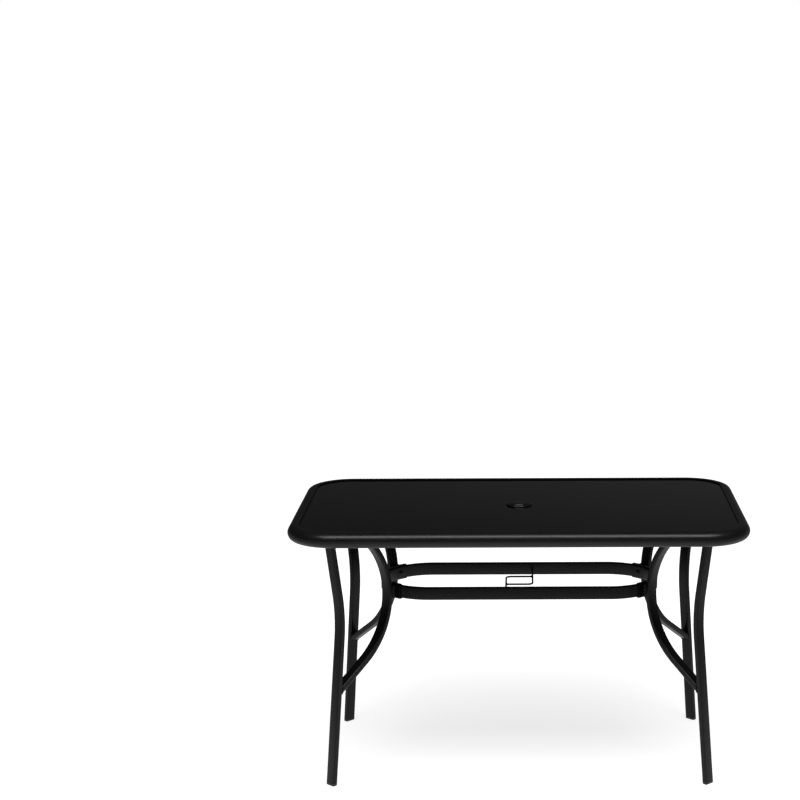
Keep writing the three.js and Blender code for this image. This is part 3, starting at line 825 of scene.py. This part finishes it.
@dataclass(frozen=True)
class ButtonBolt:
    """A bolt with a low domed head and a hexagon socket, and its nut.

    The head's seat is at zero, with the shank down and the head up. A break is
    the size of a broken edge.
    """

    shank: float = 0.006
    tip_break: float = 0.0006
    head: float = 0.011
    head_height: float = 0.0036
    head_break: float = 0.0003
    dome_start: float = 0.25  # share of the head's height that is upright
    dome_flat: float = 0.58  # share of the head's radius that the dome leaves level
    dome_steps: int = 7
    socket: float = 0.0042
    socket_depth: float = 0.002
    socket_break: Point2 = (0.0005, 0.0002)
    socket_point: Point2 = (0.3, 1.2)  # shares of socket and depth where the drill's cone ends
    nut_flats: float = 0.010
    nut_height: float = 0.005
    nut_corner: float = 1.16  # more than a hexagon's corners reach, so they stay whole
    nut_break: float = 0.0005
    nut_bore: float = 0.0067
    nut_bore_break: float = 0.0004
    sides: int = 36

    def build(self, name: str, grip: float) -> Piece:
        """Builds the bolt.

        Args:
            name: the piece's name.
            grip: the length of its shank.

        Returns:
            The bolt.
        """
        shank, head, height = self.shank / 2, self.head / 2, self.head_height
        rounds = [
            (shank - self.tip_break, -grip),
            (shank, -grip + self.tip_break),
            (shank, 0.0),
            (head - self.head_break, 0.0),
            (head, self.head_break),
            (head, height * self.dome_start),
        ]
        dome = (head * (1 - self.dome_flat), height * (1 - self.dome_start))
        rounds += arc((head * self.dome_flat, height * self.dome_start), dome, 0, 90, self.dome_steps)[1:]
        rings = [level(circle(radius, self.sides), z) for radius, z in rounds]
        for flats, z in (
            (self.socket + self.socket_break[0], height),
            (self.socket, height - self.socket_break[1]),
            (self.socket, height - self.socket_depth),
            (self.socket * self.socket_point[0], height - self.socket_depth * self.socket_point[1]),
        ):
            rings.append(level(hexagon(flats, self.sides), z))
        return skin(name, rings, sharp_deg=30.0)

    def build_nut(self, name: str) -> Piece:
        """Builds the nut, its lower face at zero and its corners turned off.

        Args:
            name: the piece's name.

        Returns:
            The nut.
        """
        half, bore, top = self.nut_flats / 2, self.nut_bore / 2, self.nut_height
        corner = half * self.nut_corner
        rings = []
        for z, limit in ((0.0, half), (self.nut_break, corner), (top - self.nut_break, corner), (top, half)):
            outline = []
            for x, y in hexagon(self.nut_flats, self.sides):
                shrink = min(1.0, limit / math.hypot(x, y))
                outline.append((x * shrink, y * shrink))
            rings.append(level(outline, z))
        edge = self.nut_bore_break
        for radius, z in ((bore + edge, top), (bore, top - edge), (bore, edge), (bore + edge, 0.0)):
            rings.append(level(circle(radius, self.sides), z))
        return skin(name, rings, closed=True, sharp_deg=30.0)


# The tabletop


@dataclass
class Tabletop:
    """Rolled rim, glass and seal."""

    dresser: Dresser
    rim_width: float = 0.030
    sheet: float = 0.0015
    wall_inset: float = 0.00775
    shelf_reach: float = 0.006
    bend: float = 0.0016
    bend_steps: int = 4
    corner_radius: float = 0.125
    nose_steps: int = 28
    corner_steps: int = 24

    def rim_outline(self) -> list[Point2]:
        """The rim's section: flange, bull nose, underside, inner wall and shelf."""
        low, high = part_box("top_rim")
        height = high.z - low.z
        radius = (height - self.sheet) / 2
        centre = (self.rim_width - height / 2, (high.z + low.z) / 2)
        nose = arc(centre, (radius, radius), 90, -90, self.nose_steps)
        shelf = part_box("glass_seal")[0].z - SEAT - self.sheet / 2
        inside = [
            nose[-1],
            (self.wall_inset, low.z + self.sheet / 2),
            (self.wall_inset, shelf),
            (-self.shelf_reach, shelf),
        ]
        flange = (0.0, high.z - self.sheet / 2)
        return bent_strip([flange, *nose[:-1], *filleted(inside, self.bend, self.bend_steps)], self.sheet)

    def build(self) -> None:
        """Builds and dresses the rim, and dresses glass and seal."""
        low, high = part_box("top_rim")
        inset = 2 * self.rim_width
        radius = self.corner_radius - self.rim_width
        track = loop_track(high.x - low.x - inset, high.y - low.y - inset, radius, self.corner_steps)
        rim = skin("rim", sweep(track, self.rim_outline()), closed=True, sharp_deg=50.0)
        self.dresser.dress(rim, Slot.RIM, "top_rim")
        self.dresser.paint(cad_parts["glass_top"], Slot.GLASS)
        self.dresser.paint(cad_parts["glass_seal"], Slot.RUBBER)


# The ring in the hole and its cap


@dataclass
class HoleFitting:
    """Plastic ring that lines the hole, and the cap that closes it.

    Heights of the ring count from the glass, heights of the cap from its seat.
    """

    dresser: Dresser
    segments: int = 96
    ring_radius: float = 0.035
    ring_break: float = 0.0004
    round_width: float = 0.0036
    round_start: float = 0.0015
    round_rise: float = 0.0033
    round_steps: int = 8
    flange_height: float = 0.0048
    lip_radius: float = 0.0011
    lip_steps: int = 4
    bore: float = 0.025
    bore_break: float = 0.0003
    seat: float = 0.0266
    ledge: float = 0.0005
    skirt: float = 0.0287
    skirt_depth: float = 0.013
    under_glass: float = 0.0053
    barb_face: float = 0.0001
    barb_share: float = 1 / 3  # share of the snap leg that is as wide as its barb
    snap_reach: float = 0.0019
    snap_length: float = 0.0042
    snap_legs: int = 4
    snap_width: float = 0.011
    slot_width: float = 0.0022
    slot_edge: float = 1e-4  # half the angle over which a slot's side runs
    cap_height: float = 0.0059
    cap_rim: float = 0.0018
    cap_widest: float = 0.0021
    cap_rim_rise: float = 0.0034
    cap_rim_steps: int = 6
    cap_dish: tuple[Point2, ...] = ((0.0026, 0.0052), (0.0034, 0.0050), (0.0046, 0.0051))  # inset, height
    crown_shares: tuple[float, ...] = (0.7, 0.55, 0.38, 0.2, 0.08)
    crown_base: float = 0.0051
    crown_rise: float = 0.0007
    spigot_play: float = 0.0005
    spigot_wall: float = 0.0018
    axis: float = 0.00002  # radius of the small ring that closes the cap on its axis

    def ring_section(self, depth: float, barb: bool) -> list[Point2]:
        """The ring's section at one angle.

        Args:
            depth: how far the skirt runs down there.
            barb: whether the section has a snap leg's barb.

        Returns:
            The outline, with as many points whatever the depth.
        """
        reach = self.skirt + (self.snap_reach if barb else 0.0)
        barb_low = -min(depth, self.under_glass + self.snap_length)
        barb_top = -min(depth, self.under_glass)
        round_centre = (self.ring_radius - self.round_width, self.round_start)
        lip_centre = (self.seat + self.lip_radius, self.flange_height - self.lip_radius)
        return [
            (self.bore, -depth),
            (self.skirt, -depth),
            (self.skirt, barb_low),
            (reach, barb_top + (barb_low - barb_top) * self.barb_share),
            (reach, barb_top),
            (self.skirt, barb_top + self.barb_face),
            (self.skirt, SEAT),
            (self.ring_radius - self.ring_break, SEAT),
            *arc(round_centre, (self.round_width, self.round_rise), 0, 90, self.round_steps),
            *arc(lip_centre, (self.lip_radius, self.lip_radius), 90, 180, self.lip_steps),
            (self.seat, self.ledge),
            (self.bore + self.bore_break, self.ledge),
            (self.bore, self.ledge - self.bore_break),
        ]

    def ring(self, top: float) -> Piece:
        """Builds the ring, its skirt slotted beside each snap leg.

        Args:
            top: the height of the glass.

        Returns:
            The ring.
        """
        half_leg = self.snap_width / 2 / self.skirt
        slot_end = half_leg + self.slot_width / self.skirt
        middles = [(leg + 0.5) * 2 * math.pi / self.snap_legs for leg in range(self.snap_legs)]
        angles = [2 * math.pi * i / self.segments for i in range(self.segments)]
        for middle in middles:
            for edge in (half_leg, slot_end):
                ends = (edge - self.slot_edge, edge + self.slot_edge)
                angles += [middle + side * end for side in (-1, 1) for end in ends]
        made = []
        for angle in sorted(angles, reverse=True):
            nearest = min(abs((angle - middle + math.pi) % (2 * math.pi) - math.pi) for middle in middles)
            depth = self.under_glass if half_leg < nearest < slot_end else self.skirt_depth
            section = self.ring_section(depth, nearest < half_leg)
            made.append([heading(angle) * x + UP * (top + y) for x, y in section])
        return skin("hole_ring_moulding", made, closed=True, sharp_deg=50.0)

    def cap(self) -> Piece:
        """Builds the cap: a nearly flat disc with a fine raised lip, over its spigot."""
        low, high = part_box("hole_cap")
        radius = (high.x - low.x) / 2
        seat = high.z - self.cap_height
        spigot, foot = self.bore - self.spigot_play, low.z - seat
        centre = (radius - self.cap_rim, self.cap_widest)
        rises = [self.crown_base + self.crown_rise * (1 - share**2) for share in self.crown_shares]
        crown = [(radius * share, rise) for share, rise in zip(self.crown_shares, rises)]
        profile = [
            (self.axis, 0.0),
            (spigot - self.spigot_wall, 0.0),
            (spigot - self.spigot_wall, foot),
            (spigot, foot),
            (spigot, 0.0),
            *arc(centre, (self.cap_rim, self.cap_widest), -90, 0, self.cap_rim_steps)[:-1],
            *arc(centre, (self.cap_rim, self.cap_rim_rise), 0, 90, self.cap_rim_steps),
            *((radius - inset, height) for inset, height in self.cap_dish),
            *crown,
            (self.axis, self.crown_base + self.crown_rise),
        ]
        angles = [-2 * math.pi * i / self.segments for i in range(self.segments)]
        stations = [Station(UP * seat, heading(angle), UP) for angle in angles]
        return skin("hole_cap_moulding", sweep(stations, profile), closed=True, sharp_deg=50.0)

    def build(self) -> None:
        """Builds and dresses ring and cap."""
        self.dresser.dress(self.ring(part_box("glass_top")[1].z), Slot.PLASTIC, "hole_ring")
        self.dresser.dress(self.cap(), Slot.PLASTIC, "hole_cap", body=Body.CAP)


# The corner frames


@dataclass
class CornerFrame:
    """One welded corner frame with its foot and pad, and the saddle that takes the hoop."""

    dresser: Dresser
    corner: Corner
    sizes: FrameSizes = FrameSizes()
    knee_steps: int = 24
    brace_steps: int = 64
    corner_steps: int = 6
    bar_break: float = 0.0003
    foot_profile: tuple[Point2, ...] = (  # height, and how far the outline draws in there
        (0.0, 0.0016),
        (0.0004, 0.0008),
        (0.0012, 0.0002),
        (0.002, 0.0),
        (0.0068, 0.0),
        (0.007, 0.0003),
    )
    pad_length: float = 0.030
    pad_width: float = 0.022
    pad_corner: float = 0.003
    pad_reach: float = 0.38027
    pad_profile: tuple[Point2, ...] = (  # share of the height, and how far the outline draws in
        (0.0, 0.0008),
        (0.12, 0.0002),
        (0.5, -0.0002),
        (0.88, 0.0002),
        (1.0, 0.0008),
    )
    saddle_sheet: float = 0.003
    saddle_bend: float = 0.0028
    saddle_bend_steps: int = 5
    saddle_half_angle_deg: float = 10.0
    saddle_steps: int = 8
    saddle_lap: float = 0.008
    channel_break: float = 0.0005
    box_width: float = 0.026
    box_break: float = 0.0004
    box_corner: float = 0.002
    box_corner_steps: int = 3
    bolt_tail: float = 0.002
    bolt: ButtonBolt = ButtonBolt()
    tube_weld: Weld = Weld(0.0016, 22)
    box_weld: Weld = Weld(0.0014, 26)

    def outline(self) -> list[Point2]:
        """The tube's outline."""
        s = self.sizes
        return rounded_rectangle((s.tube_width, s.tube_depth), s.tube_corner, self.corner_steps)

    def leg_stations(self) -> list[Station]:
        """The leg's stations from foot to head bar."""
        s = self.sizes
        lower = math.atan2(s.knee_height, s.knee_reach - s.foot_reach)
        upper = math.pi / 2 - math.atan(s.lean_out)
        tangent = s.knee_radius * math.tan((lower - upper) / 2)
        start = Vector((s.knee_reach, s.knee_height)) - Vector((math.cos(lower), math.sin(lower))) * tangent
        stations = [s.station(s.leg_reach(s.foot_height), s.foot_height, lower)]
        for angle in between(lower, upper, self.knee_steps):
            reach = start.x + s.knee_radius * (math.sin(lower) - math.sin(angle))
            height = start.y + s.knee_radius * (math.cos(angle) - math.cos(lower))
            stations.append(s.station(reach, height, angle))
        stations.append(s.station(s.knee_reach + s.lean_out * (s.top - s.knee_height), s.top, upper))
        return stations

    def brace_stations(self) -> list[Station]:
        """The brace's stations from the leg round to the head bar."""
        s = self.sizes
        tail = math.pi - math.atan(s.brace_tail_slope)
        top = math.radians(s.brace_top_slope_deg)

        def on_arc(angle: float) -> Point2:
            """The reach and height where the brace's arc has a slope."""
            return (
                s.brace_centre_reach - s.brace_radius * math.sin(angle),
                s.brace_centre_height + s.brace_radius * math.cos(angle),
            )

        reach, height = on_arc(tail)
        run = s.leg_reach(height) - s.tube_depth / 2 - SEAT - reach
        stations = [s.station(reach + run, height - run * s.brace_tail_slope, tail)]
        stations += [s.station(*on_arc(angle), angle) for angle in between(tail, top, self.brace_steps)]
        return stations

    def leg_face(self) -> Plane:
        """The plane of the leg's inner face, lower part."""
        s = self.sizes
        lean = Vector((s.knee_reach - s.foot_reach, 0, s.knee_height)).normalized()
        normal = Vector((lean.z, 0, -lean.x))
        return Plane(Vector((s.leg_reach(0) - (s.tube_depth / 2 + SEAT) / lean.z, 0, 0)), normal)

    def foot(self) -> Piece:
        """Builds the foot cap: a moulded sole with a rounded lower edge."""
        s = self.sizes
        rings = []
        lean = (s.knee_reach - s.foot_reach) / s.knee_height
        for height, shrink in self.foot_profile:
            centre = Vector((s.foot_reach + lean * height, 0, 0))
            size = (s.tube_depth, s.tube_width)
            outline = rounded_rectangle(size, s.tube_corner, self.corner_steps, shrink)
            rings.append([centre + point for point in level(outline, height)])
        return skin(f"foot_{self.corner.label}", rings)

    def head_bar(self) -> Piece:
        """Builds the head bar: a short level tube, open at both ends, its cut edges broken."""
        s = self.sizes
        low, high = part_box(f"head_bar_{self.corner.label}")
        middle, height = (low.z + high.z) / 2, high.z - low.z
        start, end, edge, wall = s.head_bar_start, s.head_bar_end, self.bar_break, s.tube_wall
        rings = []
        # First along the outside, then back along the bore
        for reach, shrink in (
            (start, edge),
            (start + edge, 0.0),
            (end - edge, 0.0),
            (end, edge),
            (end, wall),
            (start, wall),
        ):
            outline = rounded_rectangle((s.tube_width, height), s.tube_corner, self.corner_steps, shrink)
            rings += sweep([s.station(reach, middle, 0.0)], outline)
        return skin(f"bar_{self.corner.label}", rings, closed=True)

    def pad(self) -> Piece:
        """Builds the rubber pad, its edges rounded and its sides bulged by the glass."""
        low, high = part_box(f"glass_pad_{self.corner.label}")
        rings = []
        for share, shrink in self.pad_profile:
            size = (self.pad_length, self.pad_width)
            outline = rounded_rectangle(size, self.pad_corner, self.corner_steps, shrink)
            rings.append(level(outline, low.z + (high.z - low.z) * share))
        return skin(f"pad_{self.corner.label}", rings)

    def saddle(self, half_width: float, half_height: float) -> tuple[Piece, Piece]:
        """Builds the saddle: a pressed channel round the hoop's end, and the box welded behind it.

        Args:
            half_width: the hoop's half width, to its outer face.
            half_height: the hoop's half height.

        Returns:
            The channel and the box.
        """
        s, sheet = self.sizes, self.saddle_sheet
        web = half_width + SEAT + sheet / 2
        rise = half_height + SEAT + sheet / 2
        lip = half_width - self.saddle_lap
        bend = (self.saddle_bend, self.saddle_bend_steps)
        line = filleted([(lip, rise), (web, rise), (web, -rise), (lip, -rise)], *bend)
        half_angle = math.radians(self.saddle_half_angle_deg)
        angles = between(half_angle, -half_angle, self.saddle_steps)
        stations = [Station(UP * s.hoop_height, heading(angle), UP) for angle in angles]
        channel = skin(f"saddle_channel_{self.corner.label}", sweep(stations, bent_strip(line, sheet)))

        half = (self.box_width - sheet) / 2
        root, back = math.sqrt(web**2 - half**2), s.brace_inner_reach - SEAT - sheet / 2
        wall = filleted([(root, -half), (back, -half), (back, half), (root, half)], *bend)
        outline = bent_strip(wall, sheet)[::-1]
        rings = [level(outline, s.hoop_height + z) for z in (-half_height, half_height)]
        box = skin(f"saddle_box_{self.corner.label}", rings)
        return soften(channel, self.channel_break), soften(box, self.box_break)

    def hoop_joint(self, matrix: Matrix) -> None:
        """Builds and dresses saddle, hoop bolt and nut.

        Args:
            matrix: takes the frame's plane to its corner.
        """
        s, label = self.sizes, self.corner.label
        low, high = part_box("hoop")
        half_width, half_height = (high.y - low.y) / 2, (high.z - low.z) / 2
        channel, box = self.saddle(half_width, half_height)
        self.dresser.dress(channel, Slot.FRAME, f"hoop_saddle_{label}", at=matrix)
        self.dresser.dress(box, Slot.FRAME, at=matrix)
        size = (self.box_width, 2 * half_height)
        edge = rounded_rectangle(size, self.box_corner, self.box_corner_steps)
        loop = [Vector((s.brace_inner_reach, y, s.hoop_height + z)) for y, z in edge]
        self.dresser.dress(self.box_weld.build(f"weld_saddle_{label}", loop), Slot.FRAME, at=matrix)

        seat = half_width - Hoop.depth - 2 * SEAT
        nut_seat = half_width + self.saddle_sheet + 2 * SEAT
        turn = Matrix.Rotation(-math.pi / 2, 4, "Y")
        bolt = self.bolt.build(f"hoop_screw_{label}", nut_seat + self.bolt.nut_height + self.bolt_tail - seat)
        spot = matrix @ Matrix.Translation((seat, 0, s.hoop_height)) @ turn
        self.dresser.dress(bolt, Slot.ZINC, f"hoop_bolt_{label}", at=spot)
        spot = matrix @ Matrix.Translation((nut_seat, 0, s.hoop_height)) @ turn.inverted()
        nut = self.bolt.build_nut(f"hoop_lock_nut_{label}")
        self.dresser.dress(nut, Slot.ZINC, f"hoop_nut_{label}", at=spot)

    def build(self) -> None:
        """Builds and dresses the frame's pieces."""
        s, label = self.sizes, self.corner.label
        matrix = frame_matrix(self.corner, s.centre)
        ground = Plane(UP * (s.foot_height + SEAT), UP)
        head = Plane(UP * s.top, UP)
        legs = sweep(self.leg_stations(), self.outline(), ground, head)
        self.dresser.dress(skin(f"leg_{label}", legs), Slot.FRAME, f"leg_tube_{label}", at=matrix)
        braces = sweep(self.brace_stations(), self.outline(), self.leg_face(), head)
        self.dresser.dress(skin(f"brace_{label}", braces), Slot.FRAME, f"c_brace_{label}", at=matrix)
        for name, ring in (("leg_top", legs[-1]), ("brace_top", braces[-1]), ("brace_foot", braces[0])):
            weld = self.tube_weld.build(f"weld_{name}_{label}", ring)
            self.dresser.dress(weld, Slot.FRAME, at=matrix)
        self.dresser.dress(self.foot(), Slot.PLASTIC, f"foot_cap_{label}", at=matrix)
        self.dresser.dress(self.head_bar(), Slot.FRAME, f"head_bar_{label}", at=matrix)
        spot = matrix @ Matrix.Translation((self.pad_reach, 0, 0))
        self.dresser.dress(self.pad(), Slot.RUBBER, f"glass_pad_{label}", at=spot)
        self.hoop_joint(matrix)


# The gussets that bolt the frames to the rim


@dataclass
class Gusset:
    """An L of sheet rolled to the rim's corner, with its three bolts."""

    dresser: Dresser
    corner: Corner
    sizes: FrameSizes = FrameSizes()
    sheet: float = 0.003
    bend: float = 0.0032
    bend_steps: int = 5
    edge_break: float = 0.0006
    width: float = 0.034
    rise: float = 0.014
    outer: float = 0.10121
    half_angle_deg: float = 27.0
    bolt_angle_deg: float = 20.0
    frame_bolt_inset: float = 0.015
    frame_grip: float = 0.015
    rim_grip: float = 0.014
    steps: int = 24
    bolt: ButtonBolt = ButtonBolt()

    def corner_matrix(self, turn: float) -> Matrix:
        """The matrix that takes a piece drawn about the corner arc's middle to its place.

        Args:
            turn: its turn about that middle, from the head bar's end.

        Returns:
            The matrix.
        """
        x, y = self.corner.value
        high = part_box("top_rim")[1]
        middle = Vector((high.x - Tabletop.corner_radius, high.y - Tabletop.corner_radius, 0))
        end = Vector((self.sizes.centre, 0, 0)) + Vector((1, 1, 0)) * self.sizes.head_bar_end * math.sqrt(0.5)
        angle = math.atan2(y * (end.y - middle.y), x * (end.x - middle.x))
        spot = Matrix.Translation((x * middle.x, y * middle.y, 0))
        return spot @ Matrix.Rotation(angle + turn, 4, "Z")

    def plate(self, bottom: float) -> Piece:
        """Builds the L, with the bend's radius and broken edges.

        Args:
            bottom: the height of its underside.

        Returns:
            The plate.
        """
        low, out = bottom + self.sheet / 2, self.outer - self.sheet / 2
        corners = [(out, bottom + self.sheet + self.rise), (out, low), (self.outer - self.width, low)]
        outline = bent_strip(filleted(corners, self.bend, self.bend_steps), self.sheet)
        half = math.radians(self.half_angle_deg)
        stations = [Station(Vector(), heading(angle), UP) for angle in between(half, -half, self.steps)]
        return soften(skin(f"corner_plate_{self.corner.label}", sweep(stations, outline)), self.edge_break)

    def build(self) -> None:
        """Builds and dresses the plate and its bolts."""
        label = self.corner.label
        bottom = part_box(f"gusset_{label}")[0].z
        self.dresser.dress(self.plate(bottom), Slot.FRAME, f"gusset_{label}", at=self.corner_matrix(0.0))

        frame_bolt = self.bolt.build(f"frame_screw_{label}", self.frame_grip)
        spot = Matrix.Translation((self.sizes.head_bar_end - self.frame_bolt_inset, 0, bottom - SEAT))
        turned = frame_matrix(self.corner, self.sizes.centre) @ spot @ Matrix.Rotation(math.pi, 4, "X")
        self.dresser.dress(frame_bolt, Slot.ZINC, f"frame_bolt_{label}", at=turned)

        height = bottom + self.sheet + self.rise / 2
        seat = Matrix.Translation((self.outer - self.sheet - 2 * SEAT, 0, height))
        turned = seat @ Matrix.Rotation(-math.pi / 2, 4, "Y")
        for i, side in enumerate((-1, 1), start=1):
            rim_bolt = self.bolt.build(f"rim_screw_{label}_{i}", self.rim_grip)
            spot = self.corner_matrix(side * math.radians(self.bolt_angle_deg)) @ turned
            self.dresser.dress(rim_bolt, Slot.ZINC, f"rim_bolt_{label}_{i}", at=spot)


# The hoop and the pole guide


@dataclass
class Hoop:
    """Flat tube hoop with the two guide wires across it."""

    dresser: Dresser
    sizes: FrameSizes = FrameSizes()
    depth: float = 0.013
    corner: float = 0.003
    corner_steps: int = 6
    end_steps: int = 40
    wire: float = 0.005
    guide_half_length: float = 0.036
    guide_half_width: float = 0.04011
    wire_bend: float = 0.014
    wire_steps: int = 12
    wire_sides: int = 16
    wire_weld: Weld = Weld(0.0011, 5)

    def wire_stations(self, height: float, start: float) -> list[Station]:
        """The stations of one guide wire.

        Args:
            height: its height.
            start: the distance of the hoop's inner face from the middle.

        Returns:
            The stations from the hoop round the bend to the other wire.
        """
        side, bend = self.guide_half_length, self.wire_bend
        spots = [(-side, -start, math.pi / 2)]
        for turn in between(0, math.pi / 2, self.wire_steps):
            x = -side + bend * (1 - math.cos(turn))
            y = self.guide_half_width - bend * (1 - math.sin(turn))
            spots.append((x, y, math.pi / 2 - turn))
        spots.append((side - self.wire / 2 - SEAT, self.guide_half_width, 0))
        return [Station(Vector((x, y, height)), UP.cross(heading(angle)), UP) for x, y, angle in spots]

    def build(self) -> None:
        """Builds and dresses hoop, wires and their welds."""
        low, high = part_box("hoop")
        middle = (low.z + high.z) / 2
        half_width = (high.y - low.y) / 2
        line = half_width - self.depth / 2
        track = loop_track(2 * (self.sizes.centre + line), 2 * line, line, self.end_steps)
        for station in track:
            station.at.z = middle
        section = rounded_rectangle((self.depth, high.z - low.z), self.corner, self.corner_steps)
        self.dresser.dress(skin("hoop_tube", sweep(track, section), closed=True), Slot.FRAME, "hoop")

        stations = self.wire_stations(middle, half_width - self.depth - SEAT)
        rings = sweep(stations, circle(self.wire / 2, self.wire_sides))
        for name, turn in (("front", 0.0), ("back", math.pi)):
            matrix = Matrix.Rotation(turn, 4, "Z")
            wire = skin(f"wire_{name}", rings)
            self.dresser.dress(wire, Slot.FRAME, f"guide_wire_{name}", at=matrix)
            for spot, ring in (("hoop", rings[0]), ("joint", rings[-1])):
                weld = self.wire_weld.build(f"weld_wire_{spot}_{name}", ring)
                self.dresser.dress(weld, Slot.FRAME, at=matrix)


# Studio


@dataclass(frozen=True)
class SoftBox:
    """A rectangular lamp that faces the table."""

    name: str
    at: Point3
    size: Point2
    watts: float
    mirrored: bool = False
    aim: Point3 = (0.0, 0.0, 0.4)

    def build(self) -> None:
        """Hangs the lamp."""
        data = bpy.data.lights.new(self.name, "AREA")
        data.shape = "RECTANGLE"
        data.size, data.size_y = self.size
        data.energy = self.watts
        lamp = bpy.data.objects.new(self.name, data)
        lamp.location = self.at
        lamp.rotation_euler = (Vector(self.aim) - Vector(self.at)).to_track_quat("-Z", "Y").to_euler()
        lamp.visible_glossy = self.mirrored
        bpy.context.scene.collection.objects.link(lamp)


@dataclass
class Studio:
    """Pale floor, soft lamps, white surround and the camera.

    A lift is how strongly the floor shines by itself, so that it meets the white
    surround; distances on the floor count from the middle of the table.
    """

    image_px: float = 800.0
    sensor_mm: float = 36.0
    focal_px: float = 1897.86
    principal_x_px: float = 533.2
    camera_at: Point3 = (0.01436, -5.02569, 1.83457)
    camera_pitch_deg: float = 9.604
    camera_yaw_deg: float = 0.281
    camera_roll_deg: float = -0.153
    camera_clip: float = 200.0
    floor_size: float = 120.0
    floor_colour: str = "#bcbcbc"
    floor_roughness: float = 0.9
    lift_from_to: Point2 = (0.15, 1.25)
    lifts: Point2 = (0.71, 1.0)
    pool_from_to: Point2 = (0.9, 1.9)
    pool_lift: float = 0.45
    room_light: float = 0.25
    walls_seen: Point2 = (0.058, 0.026)  # strength of the wall and of the room above it
    wall_top_deg: Point2 = (11.0, 14.5)
    side_drift: Point2 = (-0.3, 0.3)
    side_shares: Point2 = (0.45, 1.55)
    lamps: tuple[SoftBox, ...] = (
        SoftBox("overhead_box", (0.0, -1.6, 3.2), (3.6, 1.2), 85.0, mirrored=True),
        SoftBox("left_box", (-3.4, -2.2, 2.0), (1.6, 2.2), 13.0),
        SoftBox("right_box", (3.4, -2.0, 1.8), (1.6, 2.2), 13.0),
    )

    def camera(self) -> None:
        """Sets the camera where the photograph was taken from."""
        data = bpy.data.cameras.new("studio_camera")
        data.sensor_width = self.sensor_mm
        data.lens = self.focal_px / self.image_px * self.sensor_mm
        data.shift_x = (self.image_px / 2 - self.principal_x_px) / self.image_px
        data.clip_end = self.camera_clip
        degrees = (self.camera_pitch_deg, self.camera_yaw_deg, self.camera_roll_deg)
        pitch, yaw, roll = (math.radians(angle) for angle in degrees)
        ahead = Vector((math.sin(yaw) * math.cos(pitch), math.cos(yaw) * math.cos(pitch), -math.sin(pitch)))
        level_right = Vector((math.cos(yaw), -math.sin(yaw), 0.0))
        right = level_right * math.cos(roll) + level_right.cross(ahead) * math.sin(roll)
        turn = Matrix((right, right.cross(ahead), -ahead)).transposed()
        camera = bpy.data.objects.new("studio_camera", data)
        camera.matrix_world = Matrix.Translation(self.camera_at) @ turn.to_4x4()
        bpy.context.scene.collection.objects.link(camera)
        bpy.context.scene.camera = camera

    def floor(self) -> None:
        """Lays the pale floor."""
        mesh = bpy.data.meshes.new("studio_floor")
        half = self.floor_size / 2
        corners = [(-half, -half, 0), (half, -half, 0), (half, half, 0), (-half, half, 0)]
        mesh.from_pydata(corners, [], [(0, 1, 2, 3)])
        floor = bpy.data.objects.new("studio_floor", mesh)
        bpy.context.scene.collection.objects.link(floor)
        shading = Shading("matt_white_floor")
        tree, smooth = shading.tree, {"interpolation_type": "SMOOTHSTEP"}
        path = add_node(tree, "ShaderNodeLightPath").outputs
        away = add_node(tree, "ShaderNodeVectorMath", {0: shading.space}, operation="LENGTH").outputs["Value"]
        backdrop = ramp(tree, away, self.lift_from_to, self.lifts, **smooth)
        direct = maths(tree, "MULTIPLY", path["Is Camera Ray"], backdrop)
        # The pool of light round the table is what coats and bolts mirror of the background
        pool = ramp(tree, away, self.pool_from_to, (self.pool_lift, 0.0), **smooth)
        indirect = maths(tree, "ADD", path["Is Glossy Ray"], path["Is Transmission Ray"])
        material = shading.finish(
            {
                "Base Color": linear(self.floor_colour),
                "Roughness": self.floor_roughness,
                "Specular IOR Level": 0.0,
                "Emission Color": WHITE,
                "Emission Strength": maths(tree, "MULTIPLY_ADD", indirect, pool, direct),
            }
        )
        mesh.materials.append(material)

    def world(self) -> None:
        """Sets a white surround for the camera, and a dim room that lights softly and is mirrored."""
        world = bpy.data.worlds.new("studio_world")
        world.use_nodes = True
        tree = world.node_tree
        tree.nodes.clear()

        def background(strength: Any) -> Socket:
            """White light of a strength."""
            inputs = {"Color": WHITE, "Strength": strength}
            return add_node(tree, "ShaderNodeBackground", inputs).outputs[0]

        path = add_node(tree, "ShaderNodeLightPath").outputs
        way = add_node(tree, "ShaderNodeTexCoord").outputs["Generated"]
        split = add_node(tree, "ShaderNodeSeparateXYZ", {"Vector": way}).outputs
        start, end = (math.sin(math.radians(edge)) for edge in self.wall_top_deg)
        wall = ramp(tree, split["Z"], (start, end), self.walls_seen)
        drift = ramp(tree, split["X"], self.side_drift, self.side_shares)
        seen = background(maths(tree, "MULTIPLY", wall, drift))
        inputs = {0: path["Is Glossy Ray"], 1: background(self.room_light), 2: seen}
        room = add_node(tree, "ShaderNodeMixShader", inputs).outputs[0]
        direct = maths(tree, "ADD", path["Is Camera Ray"], path["Is Transmission Ray"], use_clamp=True)
        mix = add_node(tree, "ShaderNodeMixShader", {0: direct, 1: room, 2: background(1.0)})
        add_node(tree, "ShaderNodeOutputWorld", {"Surface": mix.outputs[0]})
        bpy.context.scene.world = world

    def build(self) -> None:
        """Builds the studio."""
        self.camera()
        self.floor()
        self.world()
        for lamp in self.lamps:
            lamp.build()
        bpy.context.scene.view_settings.view_transform = "Standard"


def main() -> None:
    """Builds the studio and every assembly of the table, in order."""
    Studio().build()
    dresser = Dresser()
    Tabletop(dresser).build()
    HoleFitting(dresser).build()
    for corner in Corner:
        CornerFrame(dresser, corner).build()
        Gusset(dresser, corner).build()
    Hoop(dresser).build()


if __name__ == "__main__":
    main()
